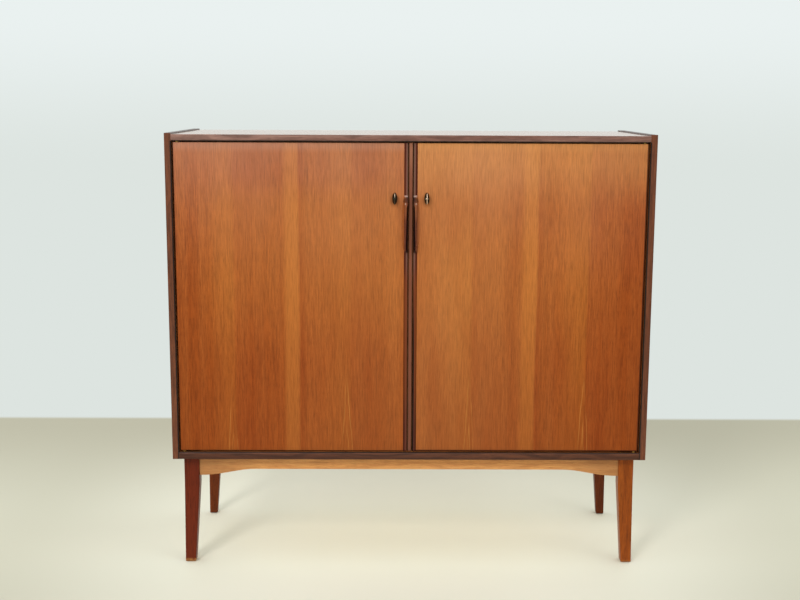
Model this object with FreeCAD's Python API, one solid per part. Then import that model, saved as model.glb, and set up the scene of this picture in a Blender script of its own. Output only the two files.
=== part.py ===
import FreeCAD, Part
import math
import os

# Two-door cabinet on a tapered-leg frame. Lengths in millimetres.
# X runs along the width, Y from the front edge of the case to the back, Z up from the floor.
# Left means negative X, as seen by someone standing in front of the doors.

Vec = FreeCAD.Vector

# Case
overall_width = 1170.0
case_depth = 430.0
top_height = 1074.0
case_underside = 278.0
panel_thickness = 16.0
floor_thickness = 17.5
side_rise = 3.0
partition_thickness = 18.0
housing_depth = 4.0
back_thickness = 5.0
rabbet_width = 8.0
rabbet_depth = 8.0

# Dark lipping on the front edges of the case
lipping_depth = 8.0
lipping_chamfer = 2.5
arris = 0.8
bead_width = 8.0

# Doors
door_recess = 8.0
door_thickness = 18.0
door_gap = 2.5
bead_gap = 3.0
edge_strip_width = 9.0
stop_gap = 0.4

# Pivot hinges let into the case and the door edges
pivot_from_edge = 9.0
pivot_from_face = 6.0
leaf_length = 45.0
leaf_width = 10.0
leaf_thickness = 2.0
leaf_tail = 6.0
pin_radius = 2.5
pin_fit = 0.05
pin_reach = 3.0
pin_end_clearance = 1.0
shoulder_radius = 4.8
shoulder_play = 0.3

# Carved handles
handle_height = 137.0
handle_below_ceiling = 127.0
handle_projection = 13.0
handle_end_projection = 10.0
handle_flare = 5.0
handle_ridge = 7.0
handle_chamfer = 1.2
handle_shoulder = 5.0
scoop_radius = 7.5
scoop_length = 116.0
scoop_drop = 3.0
scoop_outset = 2.0
scoop_depth = 8.0
scoop_taper = 14.0
scoop_end_radius = 1.0

# Locks and keys
key_from_edge = 31.5
key_below_ceiling = 134.5
shank_radius = 1.75
shank_fit = 0.05
bit_length = 6.0
bit_thickness = 2.0
bit_width = 5.0
ward_depth = 1.5
ward_width = 1.2
collar_radius = 2.9
collar_length = 2.0
key_neck = 7.0
bow_height = 28.0
bow_length = 18.0
bow_thickness = 3.0
bow_rim = 4.0
escutcheon_height = 28.0
escutcheon_width = 12.0
escutcheon_thickness = 1.0
keyhole_clearance = 0.7
lock_length = 45.0
lock_height = 32.0
lock_depth = 11.0
lock_wall = 1.2
lock_flange = 7.0
lock_flange_thickness = 1.5
lock_setback = 3.0
bolt_thickness = 4.0
bolt_nose_height = 10.0
bolt_plate_height = 16.0
bolt_drop = 2.0
bolt_throw = 7.0
bolt_length = 39.0
bolt_nose_length = 12.0
bolt_play = 0.3
bolt_from_door = 4.0
window_lead = 2.2
window_above = 3.0
window_below = 7.0
strike_height = 40.0
strike_width = 14.0
strike_thickness = 1.0
strike_pocket_depth = 7.0

# Adjustable shelves on pins
shelf_thickness = 16.0
shelf_setback = 45.0
shelf_side_clearance = 1.0
shelf_back_clearance = 4.0
shelf_pin_radius = 2.5
shelf_pin_depth = 8.0
shelf_pin_reach = 9.0
pin_row_front = 85.0
pin_row_back = 52.0
pin_pitch = 32.0
shelves_per_side = 2
spare_holes_each_way = 1

# Leg frame
leg_side_inset = 23.0
leg_front_inset = 27.0
front_leg_width = 37.5
front_leg_depth = 34.0
front_foot_width = 26.0
front_foot_depth = 28.0
rear_leg_side_inset = 30.0
rear_leg_back_inset = 23.0
rear_leg_width = 35.0
rear_leg_depth = 30.0
rear_foot_width = 21.0
rear_foot_depth = 20.0
leg_block_height = 73.0
leg_splay = 2.5
leg_chamfer = 1.8
foot_chamfer = 1.5
apron_thickness = 20.0
apron_setback = 5.0
apron_middle_height = 35.0
apron_end_height = 51.0
apron_low_knee = 30.0
apron_high_knee = 119.0
apron_high_run = 22.0
rear_apron_height = 40.0
side_rail_height = 42.0
tenon_length = 12.0
tenon_thickness = 8.0
tenon_shoulder = 7.0
corner_block_size = 50.0
corner_block_thickness = 18.0
glide_radius = 6.0
glide_thickness = 1.2
glide_nail_radius = 1.4
glide_nail_length = 14.0

# Dowels
dowel_radius = 4.0
dowel_in_side = 10.0
dowel_in_panel = 22.0

# Flat sides of pegs and of the rounder pieces that repeat
peg_sides = 6
round_sides = 12

# Straight stretches along the bow of a handle
bow_spans = 6

# Places along a piece, as shares of its length
dowel_shares = (0.12, 0.5, 0.86)
flank_hollow_share = 0.32
oval_end_share = 0.62

# Cuts run past the faces that they open
overrun = 1.0

# Planes and heights shared by the pieces
half_width = overall_width / 2
inner_half = half_width - panel_thickness
case_floor = case_underside + floor_thickness
case_ceiling = top_height - panel_thickness
case_crown = top_height + side_rise
back_plane = case_depth - rabbet_depth
door_back = door_recess + door_thickness
door_low = case_floor + door_gap
door_high = case_ceiling - door_gap
door_outer = inner_half - door_gap
door_edge = bead_width / 2 + bead_gap
strip_outer = door_edge + edge_strip_width
partition_half = partition_thickness / 2
partition_front = door_back + stop_gap
pivot_x = door_outer - pivot_from_edge
pivot_y = door_recess + pivot_from_face
key_x = door_edge + key_from_edge
key_height = case_ceiling - key_below_ceiling
handle_high = case_ceiling - handle_below_ceiling
handle_low = handle_high - handle_height
handle_middle = (handle_low + handle_high) / 2
key_front = door_recess - escutcheon_thickness - key_neck - bow_length
lock_nose = partition_half + lock_setback
lock_back = door_back + lock_depth
bolt_front = door_back + bolt_from_door
bolt_back = bolt_front + bolt_thickness
bolt_middle = key_height - bolt_drop
leg_outer = half_width - leg_side_inset
rear_leg_outer = half_width - rear_leg_side_inset
rear_leg_back = case_depth - rear_leg_back_inset
leg_block_low = case_underside - leg_block_height
apron_front = leg_front_inset + apron_setback
rear_apron_back = rear_leg_back - apron_setback
side_rail_outer = rear_leg_outer - apron_setback
side_rail_inner = side_rail_outer - apron_thickness


def block(x0, x1, y0, y1, z0, z1):
    """Box between two corners."""
    return Part.makeBox(x1 - x0, y1 - y0, z1 - z0, Vec(x0, y0, z0))


def rod(radius, start, end):
    """Round bar from one point to another."""
    return Part.makeCylinder(radius, (end - start).Length, start, end - start)


def bar(radius, start, end, sides=peg_sides):
    """Bar with flat sides and one corner up, or to the back where it stands upright."""
    along = end - start
    corner = Vec(0, 0, 1) if abs(along.z) < along.Length / 2 else Vec(0, 1, 0)
    across = along.cross(corner).normalize()
    turns = [2 * math.pi * side / sides for side in range(sides)]
    ring = [start + (corner * math.cos(turn) + across * math.sin(turn)) * radius for turn in turns]
    return prism(ring, along)


def flat_face(points):
    """Flat face inside a closed outline."""
    return Part.Face(Part.makePolygon(points + [points[0]]))


def prism(points, push):
    """Flat outline pushed along a vector."""
    return flat_face(points).extrude(push)


def mirrored(shape):
    """The same piece on the other side of the centre line."""
    return shape.mirror(Vec(0, 0, 0), Vec(1, 0, 0))


def mirrored_point(point):
    """The same point on the other side of the centre line."""
    return Vec(-point.x, point.y, point.z)


def both_sides(shape):
    """A left piece and its mirror image."""
    return [shape, mirrored(shape)]


def other_end(shape):
    """The same piece at the upper end of the doors."""
    return shape.mirror(Vec(0, 0, (case_floor + case_ceiling) / 2), Vec(0, 0, 1))


def softened(shape, radius, keep):
    """A solid with the edges that keep() picks rounded over."""
    return shape.makeFillet(radius, [edge for edge in shape.Edges if keep(edge)])


def chamfered(shape, size, keep):
    """A solid with the edges that keep() picks cut at a slant."""
    return shape.makeChamfer(size, [edge for edge in shape.Edges if keep(edge)])


def edge_lies(edge, axis, value):
    """True where both ends of an edge have the same coordinate on one axis."""
    return all(abs(getattr(v.Point, axis) - value) < arris / 2 for v in edge.Vertexes)


# Dowels, whose shapes also cut their own holes

def dowel_pieces():
    """Dowels that join the top and bottom panels to the left side, then the right."""
    pieces = []
    for level in ((case_underside + case_floor) / 2, (case_ceiling + top_height) / 2):
        for share in dowel_shares:
            y = case_depth * share
            start = Vec(-inner_half - dowel_in_side, y, level)
            end = Vec(-inner_half + dowel_in_panel, y, level)
            pieces += both_sides(bar(dowel_radius, start, end))
    return pieces


def corner_outlines():
    """Plan of the two left corner blocks: front and rear, clear of the legs."""
    inner_x = -leg_outer + front_leg_width
    inner_y = leg_front_inset + front_leg_depth
    apron_y = apron_front + apron_thickness
    front = [(inner_x, apron_y), (inner_x + corner_block_size, apron_y),
             (-side_rail_inner, inner_y + corner_block_size), (-side_rail_inner, inner_y),
             (inner_x, inner_y)]
    inner_x = -rear_leg_outer + rear_leg_width
    inner_y = rear_leg_back - rear_leg_depth
    apron_y = rear_apron_back - apron_thickness
    rear = [(inner_x, apron_y), (inner_x + corner_block_size, apron_y),
            (-side_rail_inner, inner_y - corner_block_size), (-side_rail_inner, inner_y),
            (inner_x, inner_y)]
    return front, rear


# Shelf heights and the pin rows that carry them

def shelf_undersides():
    """Heights of the shelves' undersides, with equal bays."""
    bays = shelves_per_side + 1
    bay = (case_ceiling - case_floor - shelves_per_side * shelf_thickness) / bays
    return [case_floor + bay * n + shelf_thickness * (n - 1) for n in range(1, bays)]


def pin_rows():
    """Depths of the front and rear rows of pin holes."""
    return pin_row_front, back_plane - pin_row_back


def pin_hole_centres():
    """Depth and height of every pin hole in one face."""
    steps = range(-spare_holes_each_way, spare_holes_each_way + 1)
    return [(y, underside - shelf_pin_radius + pin_pitch * step)
            for y in pin_rows() for underside in shelf_undersides() for step in steps]


# Case

def side_panel(holes):
    """Left side with its rabbet, pin holes and dowel holes."""
    panel = block(-half_width, -inner_half, lipping_depth, case_depth, case_underside, case_crown)
    tools = [block(-inner_half - rabbet_width, -inner_half + overrun, back_plane, case_depth + overrun,
                   case_floor - rabbet_width, case_ceiling + rabbet_width)]
    for y, z in pin_hole_centres():
        mouth = Vec(-inner_half + overrun, y, z)
        tools.append(bar(shelf_pin_radius, Vec(-inner_half - shelf_pin_depth, y, z), mouth))
    return panel.cut(tools + holes)


def end_panel(inner_z, outer_z, holes):
    """Top or bottom panel, from its inner face to its outer face."""
    up = math.copysign(1, outer_z - inner_z)
    panel = block(-inner_half, inner_half, lipping_depth, case_depth,
                  min(inner_z, outer_z), max(inner_z, outer_z))

    def from_inside(x0, x1, y0, y1, depth):
        low, high = sorted((inner_z - up * overrun, inner_z + up * depth))
        return block(x0, x1, y0, y1, low, high)

    leaf_x = -pivot_x - leaf_tail
    leaf_y = pivot_y - leaf_width / 2
    leaf = from_inside(leaf_x, leaf_x + leaf_length, leaf_y, leaf_y + leaf_width, leaf_thickness)
    tools = [
        from_inside(-half_width, half_width, back_plane, case_depth + overrun, rabbet_width),
        from_inside(-partition_half, partition_half, partition_front, back_plane + overrun, housing_depth),
    ]
    return panel.cut(tools + both_sides(leaf) + holes)


def centre_partition():
    """Upright between the compartments, with through holes for shelf pins and the bolt pockets."""
    panel = block(-partition_half, partition_half, partition_front, back_plane,
                  case_floor - housing_depth, case_ceiling + housing_depth)
    tools = [bar(shelf_pin_radius, Vec(-partition_thickness, y, z), Vec(partition_thickness, y, z))
             for y, z in pin_hole_centres()]
    rise = strike_height / 2
    recess = block(-partition_half - overrun, -partition_half + strike_thickness, partition_front - overrun,
                   partition_front + strike_width, bolt_middle - rise, bolt_middle + rise)
    pocket_rise = bolt_nose_height / 2 + keyhole_clearance
    pocket = block(-partition_half, -partition_half + strike_pocket_depth, bolt_front - keyhole_clearance,
                   bolt_back + keyhole_clearance, bolt_middle - pocket_rise, bolt_middle + pocket_rise)
    return panel.cut(tools + both_sides(recess) + both_sides(pocket))


def strike_plate():
    """Left strike, let into the partition, with a slot for the bolt."""
    rise = strike_height / 2
    slot_rise = bolt_nose_height / 2 + keyhole_clearance
    plate = block(-partition_half, -partition_half + strike_thickness, partition_front,
                  partition_front + strike_width, bolt_middle - rise, bolt_middle + rise)
    slot = block(-partition_half - overrun, -partition_half + strike_thickness + overrun,
                 bolt_front - keyhole_clearance, bolt_back + keyhole_clearance,
                 bolt_middle - slot_rise, bolt_middle + slot_rise)
    return plate.cut(slot)


def front_chamfer():
    """Tapered plug that chamfers the inner front arris of the lipping with mitred corners."""
    sections = []
    for y, spread in ((-overrun, lipping_chamfer + overrun), (lipping_chamfer + overrun, -overrun)):
        x = inner_half + spread
        low = case_floor - spread
        high = case_ceiling + spread
        sections.append(Part.makePolygon([Vec(-x, y, low), Vec(x, y, low), Vec(x, y, high),
                                          Vec(-x, y, high), Vec(-x, y, low)]))
    return Part.makeLoft(sections, True, True)


def lipping_pieces():
    """Solid wood lipping: left side, top and bottom."""
    plug = front_chamfer()
    side = block(-half_width, -inner_half, 0, lipping_depth, case_underside, case_crown)
    side = softened(side, arris, lambda e: edge_lies(e, "x", -half_width) and edge_lies(e, "y", 0))
    top = block(-inner_half, inner_half, 0, lipping_depth, case_ceiling, top_height)
    top = softened(top, arris, lambda e: edge_lies(e, "z", top_height) and edge_lies(e, "y", 0))
    bottom = block(-inner_half, inner_half, 0, lipping_depth, case_underside, case_floor)
    bottom = softened(bottom, arris, lambda e: edge_lies(e, "z", case_underside) and edge_lies(e, "y", 0))
    return side.cut(plug), top.cut(plug), bottom.cut(plug)


def back_panel():
    """Thin back in the rabbets of the case."""
    half = inner_half + rabbet_width
    return block(-half, half, back_plane, back_plane + back_thickness,
                 case_floor - rabbet_width, case_ceiling + rabbet_width)


def centre_bead():
    """Upright bead in front of the partition, as tall as the doors."""
    bead = block(-bead_width / 2, bead_width / 2, door_recess, partition_front, door_low, door_high)
    return softened(bead, arris, lambda e: edge_lies(e, "y", door_recess) and e.Length > bead_width)


def shelf_and_pins(underside):
    """Left shelf at one height and its four pins."""
    x0 = -inner_half + shelf_side_clearance
    x1 = -partition_half - shelf_side_clearance
    shelf = block(x0, x1, shelf_setback, back_plane - shelf_back_clearance,
                  underside, underside + shelf_thickness)
    z = underside - shelf_pin_radius
    pins = []
    for y in pin_rows():
        for face, inward in ((-inner_half, 1), (-partition_half, -1)):
            start = Vec(face - inward * shelf_pin_depth, y, z)
            pins.append(bar(shelf_pin_radius, start, Vec(face + inward * shelf_pin_reach, y, z)))
    return shelf, pins


# Leg frame

def leg_section(x0, x1, y0, y1, z):
    """Corners of a level rectangle whose own corners are cut."""
    cut = leg_chamfer
    points = [(x0 + cut, y0), (x1 - cut, y0), (x1, y0 + cut), (x1, y1 - cut),
              (x1 - cut, y1), (x0 + cut, y1), (x0, y1 - cut), (x0, y0 + cut)]
    return [Vec(x, y, z) for x, y in points]


def flat_sided(sections):
    """Solid with flat faces through level sections that have as many corners each."""
    faces = [flat_face(sections[0]), flat_face(sections[-1])]
    for upper, lower in zip(sections, sections[1:]):
        for n in range(len(upper)):
            faces.append(flat_face([upper[n - 1], upper[n], lower[n], lower[n - 1]]))
    return Part.Solid(Part.Shell(faces))


def tapered_leg(outer_x, outer_y, inward_y, top_width, top_depth, foot_width, foot_depth):
    """Left leg: a square block at the rails, then a taper on its two inner faces."""

    def section(z, width, depth, splay, shrink):
        y0, y1 = sorted((outer_y + inward_y * shrink, outer_y + inward_y * (depth - shrink)))
        return leg_section(outer_x - splay + shrink, outer_x - splay + width - shrink, y0, y1, z)

    return flat_sided([
        section(case_underside, top_width, top_depth, 0, 0),
        section(leg_block_low, top_width, top_depth, 0, 0),
        section(glide_thickness + foot_chamfer, foot_width, foot_depth, leg_splay, 0),
        section(glide_thickness, foot_width, foot_depth, leg_splay, foot_chamfer),
    ])


def front_leg(holes):
    """Left front leg, with its mortises."""
    leg = tapered_leg(-leg_outer, leg_front_inset, 1, front_leg_width, front_leg_depth,
                      front_foot_width, front_foot_depth)
    return leg.cut(holes)


def rear_leg(holes):
    """Left rear leg, slimmer than the front one."""
    leg = tapered_leg(-rear_leg_outer, rear_leg_back, -1, rear_leg_width, rear_leg_depth,
                      rear_foot_width, rear_foot_depth)
    return leg.cut(holes)


def foot_glide(x, y):
    """Nail glide under one foot."""
    nail = bar(glide_nail_radius, Vec(x, y, 0), Vec(x, y, glide_thickness + glide_nail_length))
    disc = bar(glide_radius, Vec(x, y, 0), Vec(x, y, glide_thickness), round_sides)
    return disc.fuse(nail).removeSplitter()


def glide_pieces():
    """Four glides, each in the middle of its foot."""
    front_x = -leg_outer - leg_splay + front_foot_width / 2
    rear_x = -rear_leg_outer - leg_splay + rear_foot_width / 2
    return (both_sides(foot_glide(front_x, leg_front_inset + front_foot_depth / 2))
            + both_sides(foot_glide(rear_x, rear_leg_back - rear_foot_depth / 2)))


def knee_arc(before, knee, after, run):
    """Arc that rounds a bend in an outline, between its two tangent points."""
    back = (before - knee).normalize()
    on = (after - knee).normalize()
    half_angle = back.getAngle(on) / 2
    inward = (back + on).normalize()
    middle = knee + inward * (run / math.cos(half_angle) - run * math.tan(half_angle))
    return knee + back * run, middle, knee + on * run


def with_tenons(rail, tenons):
    """A rail with a tenon on each end."""
    return rail.fuse(tenons).removeSplitter()


def front_apron_tenon():
    """Left tenon of the front apron."""
    x = -leg_outer + front_leg_width
    y = apron_front + apron_thickness / 2
    half = tenon_thickness / 2
    return block(x - tenon_length, x, y - half, y + half,
                 case_underside - apron_end_height + tenon_shoulder, case_underside - tenon_shoulder)


def front_apron():
    """Shaped front apron: low at the legs, rising in a double curve to a straight middle."""
    end_x = leg_outer - front_leg_width
    low = case_underside - apron_end_height
    high = case_underside - apron_middle_height

    def corner(x, z):
        return Vec(x, apron_front, z)

    left_end = corner(-end_x, low)
    low_knee = corner(apron_low_knee - end_x, low)
    high_knee = corner(apron_high_knee - end_x, high)
    low_arc = knee_arc(left_end, low_knee, high_knee, apron_low_knee)
    high_arc = knee_arc(low_knee, high_knee, corner(0, high), apron_high_run)
    half = [Part.Arc(*low_arc), Part.LineSegment(low_arc[2], high_arc[0]), Part.Arc(*high_arc)]
    curves = [edge.toShape() for edge in half]
    edges = [
        Part.LineSegment(high_arc[2], mirrored_point(high_arc[2])),
        Part.LineSegment(mirrored_point(left_end), corner(end_x, case_underside)),
        Part.LineSegment(corner(end_x, case_underside), corner(-end_x, case_underside)),
        Part.LineSegment(corner(-end_x, case_underside), left_end),
    ]
    curves += [mirrored(curve) for curve in curves] + [edge.toShape() for edge in edges]
    outline = Part.Wire(Part.sortEdges(curves)[0])
    board = Part.Face(outline).extrude(Vec(0, apron_thickness, 0))
    return with_tenons(board, both_sides(front_apron_tenon()))


def rear_apron_tenon():
    """Left tenon of the rear apron."""
    x = -rear_leg_outer + rear_leg_width
    y = rear_apron_back - apron_thickness / 2
    half = tenon_thickness / 2
    return block(x - tenon_length, x, y - half, y + half,
                 case_underside - rear_apron_height + tenon_shoulder, case_underside - tenon_shoulder)


def rear_apron():
    """Straight rear apron between the rear legs."""
    end_x = rear_leg_outer - rear_leg_width
    board = block(-end_x, end_x, rear_apron_back - apron_thickness, rear_apron_back,
                  case_underside - rear_apron_height, case_underside)
    return with_tenons(board, both_sides(rear_apron_tenon()))


def side_rail_tenons():
    """Front and rear tenons of the left side rail."""
    x = -side_rail_outer + apron_thickness / 2
    half = tenon_thickness / 2
    low = case_underside - side_rail_height + tenon_shoulder
    high = case_underside - tenon_shoulder
    front_y = leg_front_inset + front_leg_depth
    rear_y = rear_leg_back - rear_leg_depth
    return [block(x - half, x + half, front_y - tenon_length, front_y, low, high),
            block(x - half, x + half, rear_y, rear_y + tenon_length, low, high)]


def side_rail():
    """Left rail between the front and rear legs."""
    board = block(-side_rail_outer, -side_rail_inner, leg_front_inset + front_leg_depth,
                  rear_leg_back - rear_leg_depth, case_underside - side_rail_height, case_underside)
    return with_tenons(board, side_rail_tenons())


def corner_block_pieces():
    """Four blocks in the corners of the leg frame."""
    low = case_underside - corner_block_thickness
    up = Vec(0, 0, corner_block_thickness)
    pieces = []
    for outline in corner_outlines():
        pieces += both_sides(prism([Vec(x, y, low) for x, y in outline], up))
    return pieces


# Hinges

def hinge_leaf(low):
    """Left hinge leaf lying at one height."""
    x = -pivot_x - leaf_tail
    half = leaf_width / 2
    return block(x, x + leaf_length, pivot_y - half, pivot_y + half, low, low + leaf_thickness)


def pivot_rod(radius, low, high):
    """Round bar on the axis of the left door's pivot."""
    return rod(radius, Vec(-pivot_x, pivot_y, low), Vec(-pivot_x, pivot_y, high))


def case_leaf_pieces():
    """The four leaves let into the case, each with its pivot pin and the shoulder below the door."""
    low = case_floor - leaf_thickness
    pin = pivot_rod(pin_radius, low, door_low + leaf_thickness + pin_reach)
    shoulder = bar(shoulder_radius, Vec(-pivot_x, pivot_y, low),
                   Vec(-pivot_x, pivot_y, door_low - shoulder_play), round_sides)
    leaf = hinge_leaf(low).fuse([pin, shoulder]).removeSplitter()
    return both_sides(leaf) + both_sides(other_end(leaf))


def door_leaf_pieces():
    """The left door's two leaves, which turn on the pins."""
    hole = pivot_rod(pin_radius + pin_fit, door_low - overrun, door_low + leaf_thickness + overrun)
    leaf = hinge_leaf(door_low).cut(hole)
    return [leaf, other_end(leaf)]


# Doors

def keyhole(y0, y1, round_clearance, make_bar=rod):
    """Hole for the left key's shank, with a slot below it for the bit."""
    slot_half = bit_thickness / 2 + keyhole_clearance
    slot = block(-key_x - slot_half, -key_x + slot_half, y0, y1,
                 key_height - bit_length - keyhole_clearance, key_height)
    hole = make_bar(shank_radius + round_clearance, Vec(-key_x, y0, key_height), Vec(-key_x, y1, key_height))
    return hole.fuse(slot)


def hinge_recess():
    """Room for a leaf and the end of its pin in the lower edge of the left door."""
    x = -pivot_x - leaf_tail
    half = leaf_width / 2
    depth = leaf_thickness + pin_reach + pin_end_clearance
    leaf = block(x, x + leaf_length, pivot_y - half, pivot_y + half,
                 door_low - overrun, door_low + leaf_thickness)
    bore = bar(pin_radius + pin_end_clearance, Vec(-pivot_x, pivot_y, door_low),
               Vec(-pivot_x, pivot_y, door_low + depth), round_sides)
    return leaf.fuse(bore)


def door_panel():
    """Left door panel, recessed for its hinge leaves and bored for the pins and the key."""
    panel = block(-door_outer, -strip_outer, door_recess, door_back, door_low, door_high)
    panel = chamfered(panel, arris, lambda e: edge_lies(e, "y", door_recess)
                      and not edge_lies(e, "x", -strip_outer))
    recess = hinge_recess()
    return panel.cut([recess, other_end(recess),
                      keyhole(door_recess - overrun, door_back + overrun, keyhole_clearance, bar)])


def edge_strip():
    """Dark strip on the left door's closing edge."""
    strip = block(-strip_outer, -door_edge, door_recess, door_back, door_low, door_high)
    return softened(strip, arris, lambda e: edge_lies(e, "y", door_recess) and e.Length > edge_strip_width)


def handle_section(z, projection, flare):
    """Level section of the left handle: flat back, chamfered front corner, hollow flank."""

    def place(outward, forward):
        return Vec(-door_edge - outward, door_recess - forward, z)

    foot = edge_strip_width + flare
    hollow = handle_ridge + (foot - handle_ridge) * flank_hollow_share
    edges = [
        Part.LineSegment(place(0, 0), place(0, projection - handle_chamfer)),
        Part.LineSegment(place(0, projection - handle_chamfer), place(handle_chamfer, projection)),
        Part.LineSegment(place(handle_chamfer, projection), place(handle_ridge, projection)),
        Part.Arc(place(handle_ridge, projection), place(hollow, projection / 2), place(foot, 0)),
        Part.LineSegment(place(foot, 0), place(0, 0)),
    ]
    return Part.Wire([edge.toShape() for edge in edges])


def carved_handle():
    """Left handle: a bowed grip with square shoulders and a scooped finger groove."""
    half = handle_height / 2 - handle_shoulder
    shoulder_projection = handle_end_projection - handle_shoulder
    sections = [handle_section(handle_low, shoulder_projection, 0)]
    for n in range(bow_spans + 1):
        along = 2 * n / bow_spans - 1
        bow = (handle_projection - handle_end_projection) * (1 - along ** 2)
        flare = handle_flare * (1 - along ** 4)
        sections.append(handle_section(handle_middle + half * along, handle_end_projection + bow, flare))
    sections.append(handle_section(handle_high, shoulder_projection, 0))
    return Part.makeLoft(sections, True, True).cut(finger_scoop())


def finger_scoop():
    """Cove along the closing edge of the left handle that tapers out at both ends."""
    centre = Vec(-door_edge + scoop_outset, door_recess - scoop_depth, handle_middle - scoop_drop)
    middle = Vec(0, 0, scoop_length / 2 - scoop_taper)
    end = Part.makeCone(scoop_radius, scoop_end_radius, scoop_taper, centre + middle, Vec(0, 0, 1))
    ends = [end, end.mirror(centre, Vec(0, 0, 1))]
    return rod(scoop_radius, centre - middle, centre + middle).fuse(ends).removeSplitter()


# Locks and keys

def oval(centre, half_tall, half_wide, push):
    """Oval plate of four arcs, from its centre and its two half axes."""
    tall = half_tall.Length
    wide = half_wide.Length
    end_radius = wide * oval_end_share
    end_rise = tall - end_radius
    side_radius = (wide ** 2 + end_rise ** 2 - end_radius ** 2) / (2 * (wide - end_radius))
    lean = math.atan2(end_rise, side_radius - wide)
    joint = (end_radius * math.cos(lean), end_rise + end_radius * math.sin(lean))

    def place(across, up):
        return centre + half_wide * (across / wide) + half_tall * (up / tall)

    corners = [place(joint[0] * side, joint[1] * end) for side, end in ((1, 1), (-1, 1), (-1, -1), (1, -1))]
    crowns = [place(0, tall), place(-wide, 0), place(0, -tall), place(wide, 0)]
    arcs = [Part.Arc(corners[n], crowns[n], corners[(n + 1) % len(corners)]).toShape() for n in range(4)]
    return Part.Face(Part.Wire(arcs)).extrude(push)


def escutcheon():
    """Oval plate round the left keyhole."""
    plate = oval(Vec(-key_x, door_recess - escutcheon_thickness, key_height),
                 Vec(0, 0, escutcheon_height / 2), Vec(escutcheon_width / 2, 0, 0),
                 Vec(0, escutcheon_thickness, 0))
    return plate.cut(keyhole(door_recess - escutcheon_thickness - overrun, door_recess + overrun,
                             keyhole_clearance))


def lock_case():
    """Left rim lock: a flange and a hollow box with holes for the key and the bolt."""
    x0 = -lock_nose - lock_length
    box_y = door_back + lock_flange_thickness
    half = lock_height / 2
    flange = block(x0, -lock_nose, door_back, box_y,
                   key_height - half - lock_flange, key_height + half + lock_flange)
    box = block(x0, -lock_nose, door_back, lock_back, key_height - half, key_height + half)
    inner = half - lock_wall
    cavity = block(x0 + lock_wall, -lock_nose - lock_wall, box_y, lock_back - lock_wall,
                   key_height - inner, key_height + inner)
    nose_rise = bolt_nose_height / 2 + bolt_play
    mouth = block(-lock_nose - lock_wall - overrun, -lock_nose + overrun, bolt_front - bolt_play,
                  bolt_back + bolt_play, bolt_middle - nose_rise, bolt_middle + nose_rise)
    pivot = rod(shank_radius + shank_fit, Vec(-key_x, box_y, key_height),
                Vec(-key_x, lock_back + overrun, key_height))
    tools = [cavity, mouth, pivot, keyhole(door_back - overrun, box_y + overrun, shank_fit)]
    return flange.fuse(box).removeSplitter().cut(tools)


def lock_bolt():
    """Left bolt, drawn back, with a nose, a plate and the window that the key's bit works in."""
    nose_half = bolt_nose_height / 2
    plate_half = bolt_plate_height / 2
    shoulder = -lock_nose - bolt_nose_length
    nose = block(shoulder, -lock_nose, bolt_front, bolt_back,
                 bolt_middle - nose_half, bolt_middle + nose_half)
    plate = block(-lock_nose - bolt_length, shoulder, bolt_front, bolt_back,
                  bolt_middle - plate_half, bolt_middle + plate_half)
    window = block(-key_x - bolt_throw - window_lead, -key_x + window_lead, bolt_front - overrun,
                   bolt_back + overrun, key_height - window_below, key_height + window_above)
    return nose.fuse(plate).removeSplitter().cut(window)


def key():
    """Left key: oval bow, collar, shank and warded bit, with the bow upright."""
    bow_middle = Vec(-key_x - bow_thickness / 2, key_front + bow_length / 2, key_height)
    push = Vec(bow_thickness, 0, 0)
    bow = oval(bow_middle, Vec(0, 0, bow_height / 2), Vec(0, bow_length / 2, 0), push)
    eye = oval(bow_middle, Vec(0, 0, bow_height / 2 - bow_rim), Vec(0, bow_length / 2 - bow_rim, 0), push)
    neck = key_front + bow_length
    shank = rod(shank_radius, Vec(-key_x, neck - bow_rim / 2, key_height), Vec(-key_x, lock_back, key_height))
    collar = bar(collar_radius, Vec(-key_x, neck - bow_thickness / 2, key_height),
                 Vec(-key_x, neck + collar_length, key_height), round_sides)
    middle = (bolt_front + bolt_back) / 2
    half = bit_thickness / 2
    bit = block(-key_x - half, -key_x + half, middle - bit_width / 2, middle + bit_width / 2,
                key_height - bit_length, key_height)
    ward = block(-key_x - bit_thickness, -key_x + bit_thickness, middle - ward_width / 2,
                 middle + ward_width / 2, key_height - bit_length - overrun,
                 key_height - bit_length + ward_depth)
    return bow.cut(eye).fuse([shank, collar, bit]).removeSplitter().cut(ward)


def door_nodes():
    """Every piece of the left door, key and bolt, by its name."""
    return {
        "door_{}_panel": door_panel(),
        "door_{}_edge_strip": edge_strip(),
        "door_{}_handle": carved_handle(),
        "door_{}_hinge_leaves": Part.makeCompound(door_leaf_pieces()),
        "door_{}_escutcheon": escutcheon(),
        "door_{}_lock_case": lock_case(),
        "bolt_{}": lock_bolt(),
        "key_{}": key(),
    }


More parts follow.
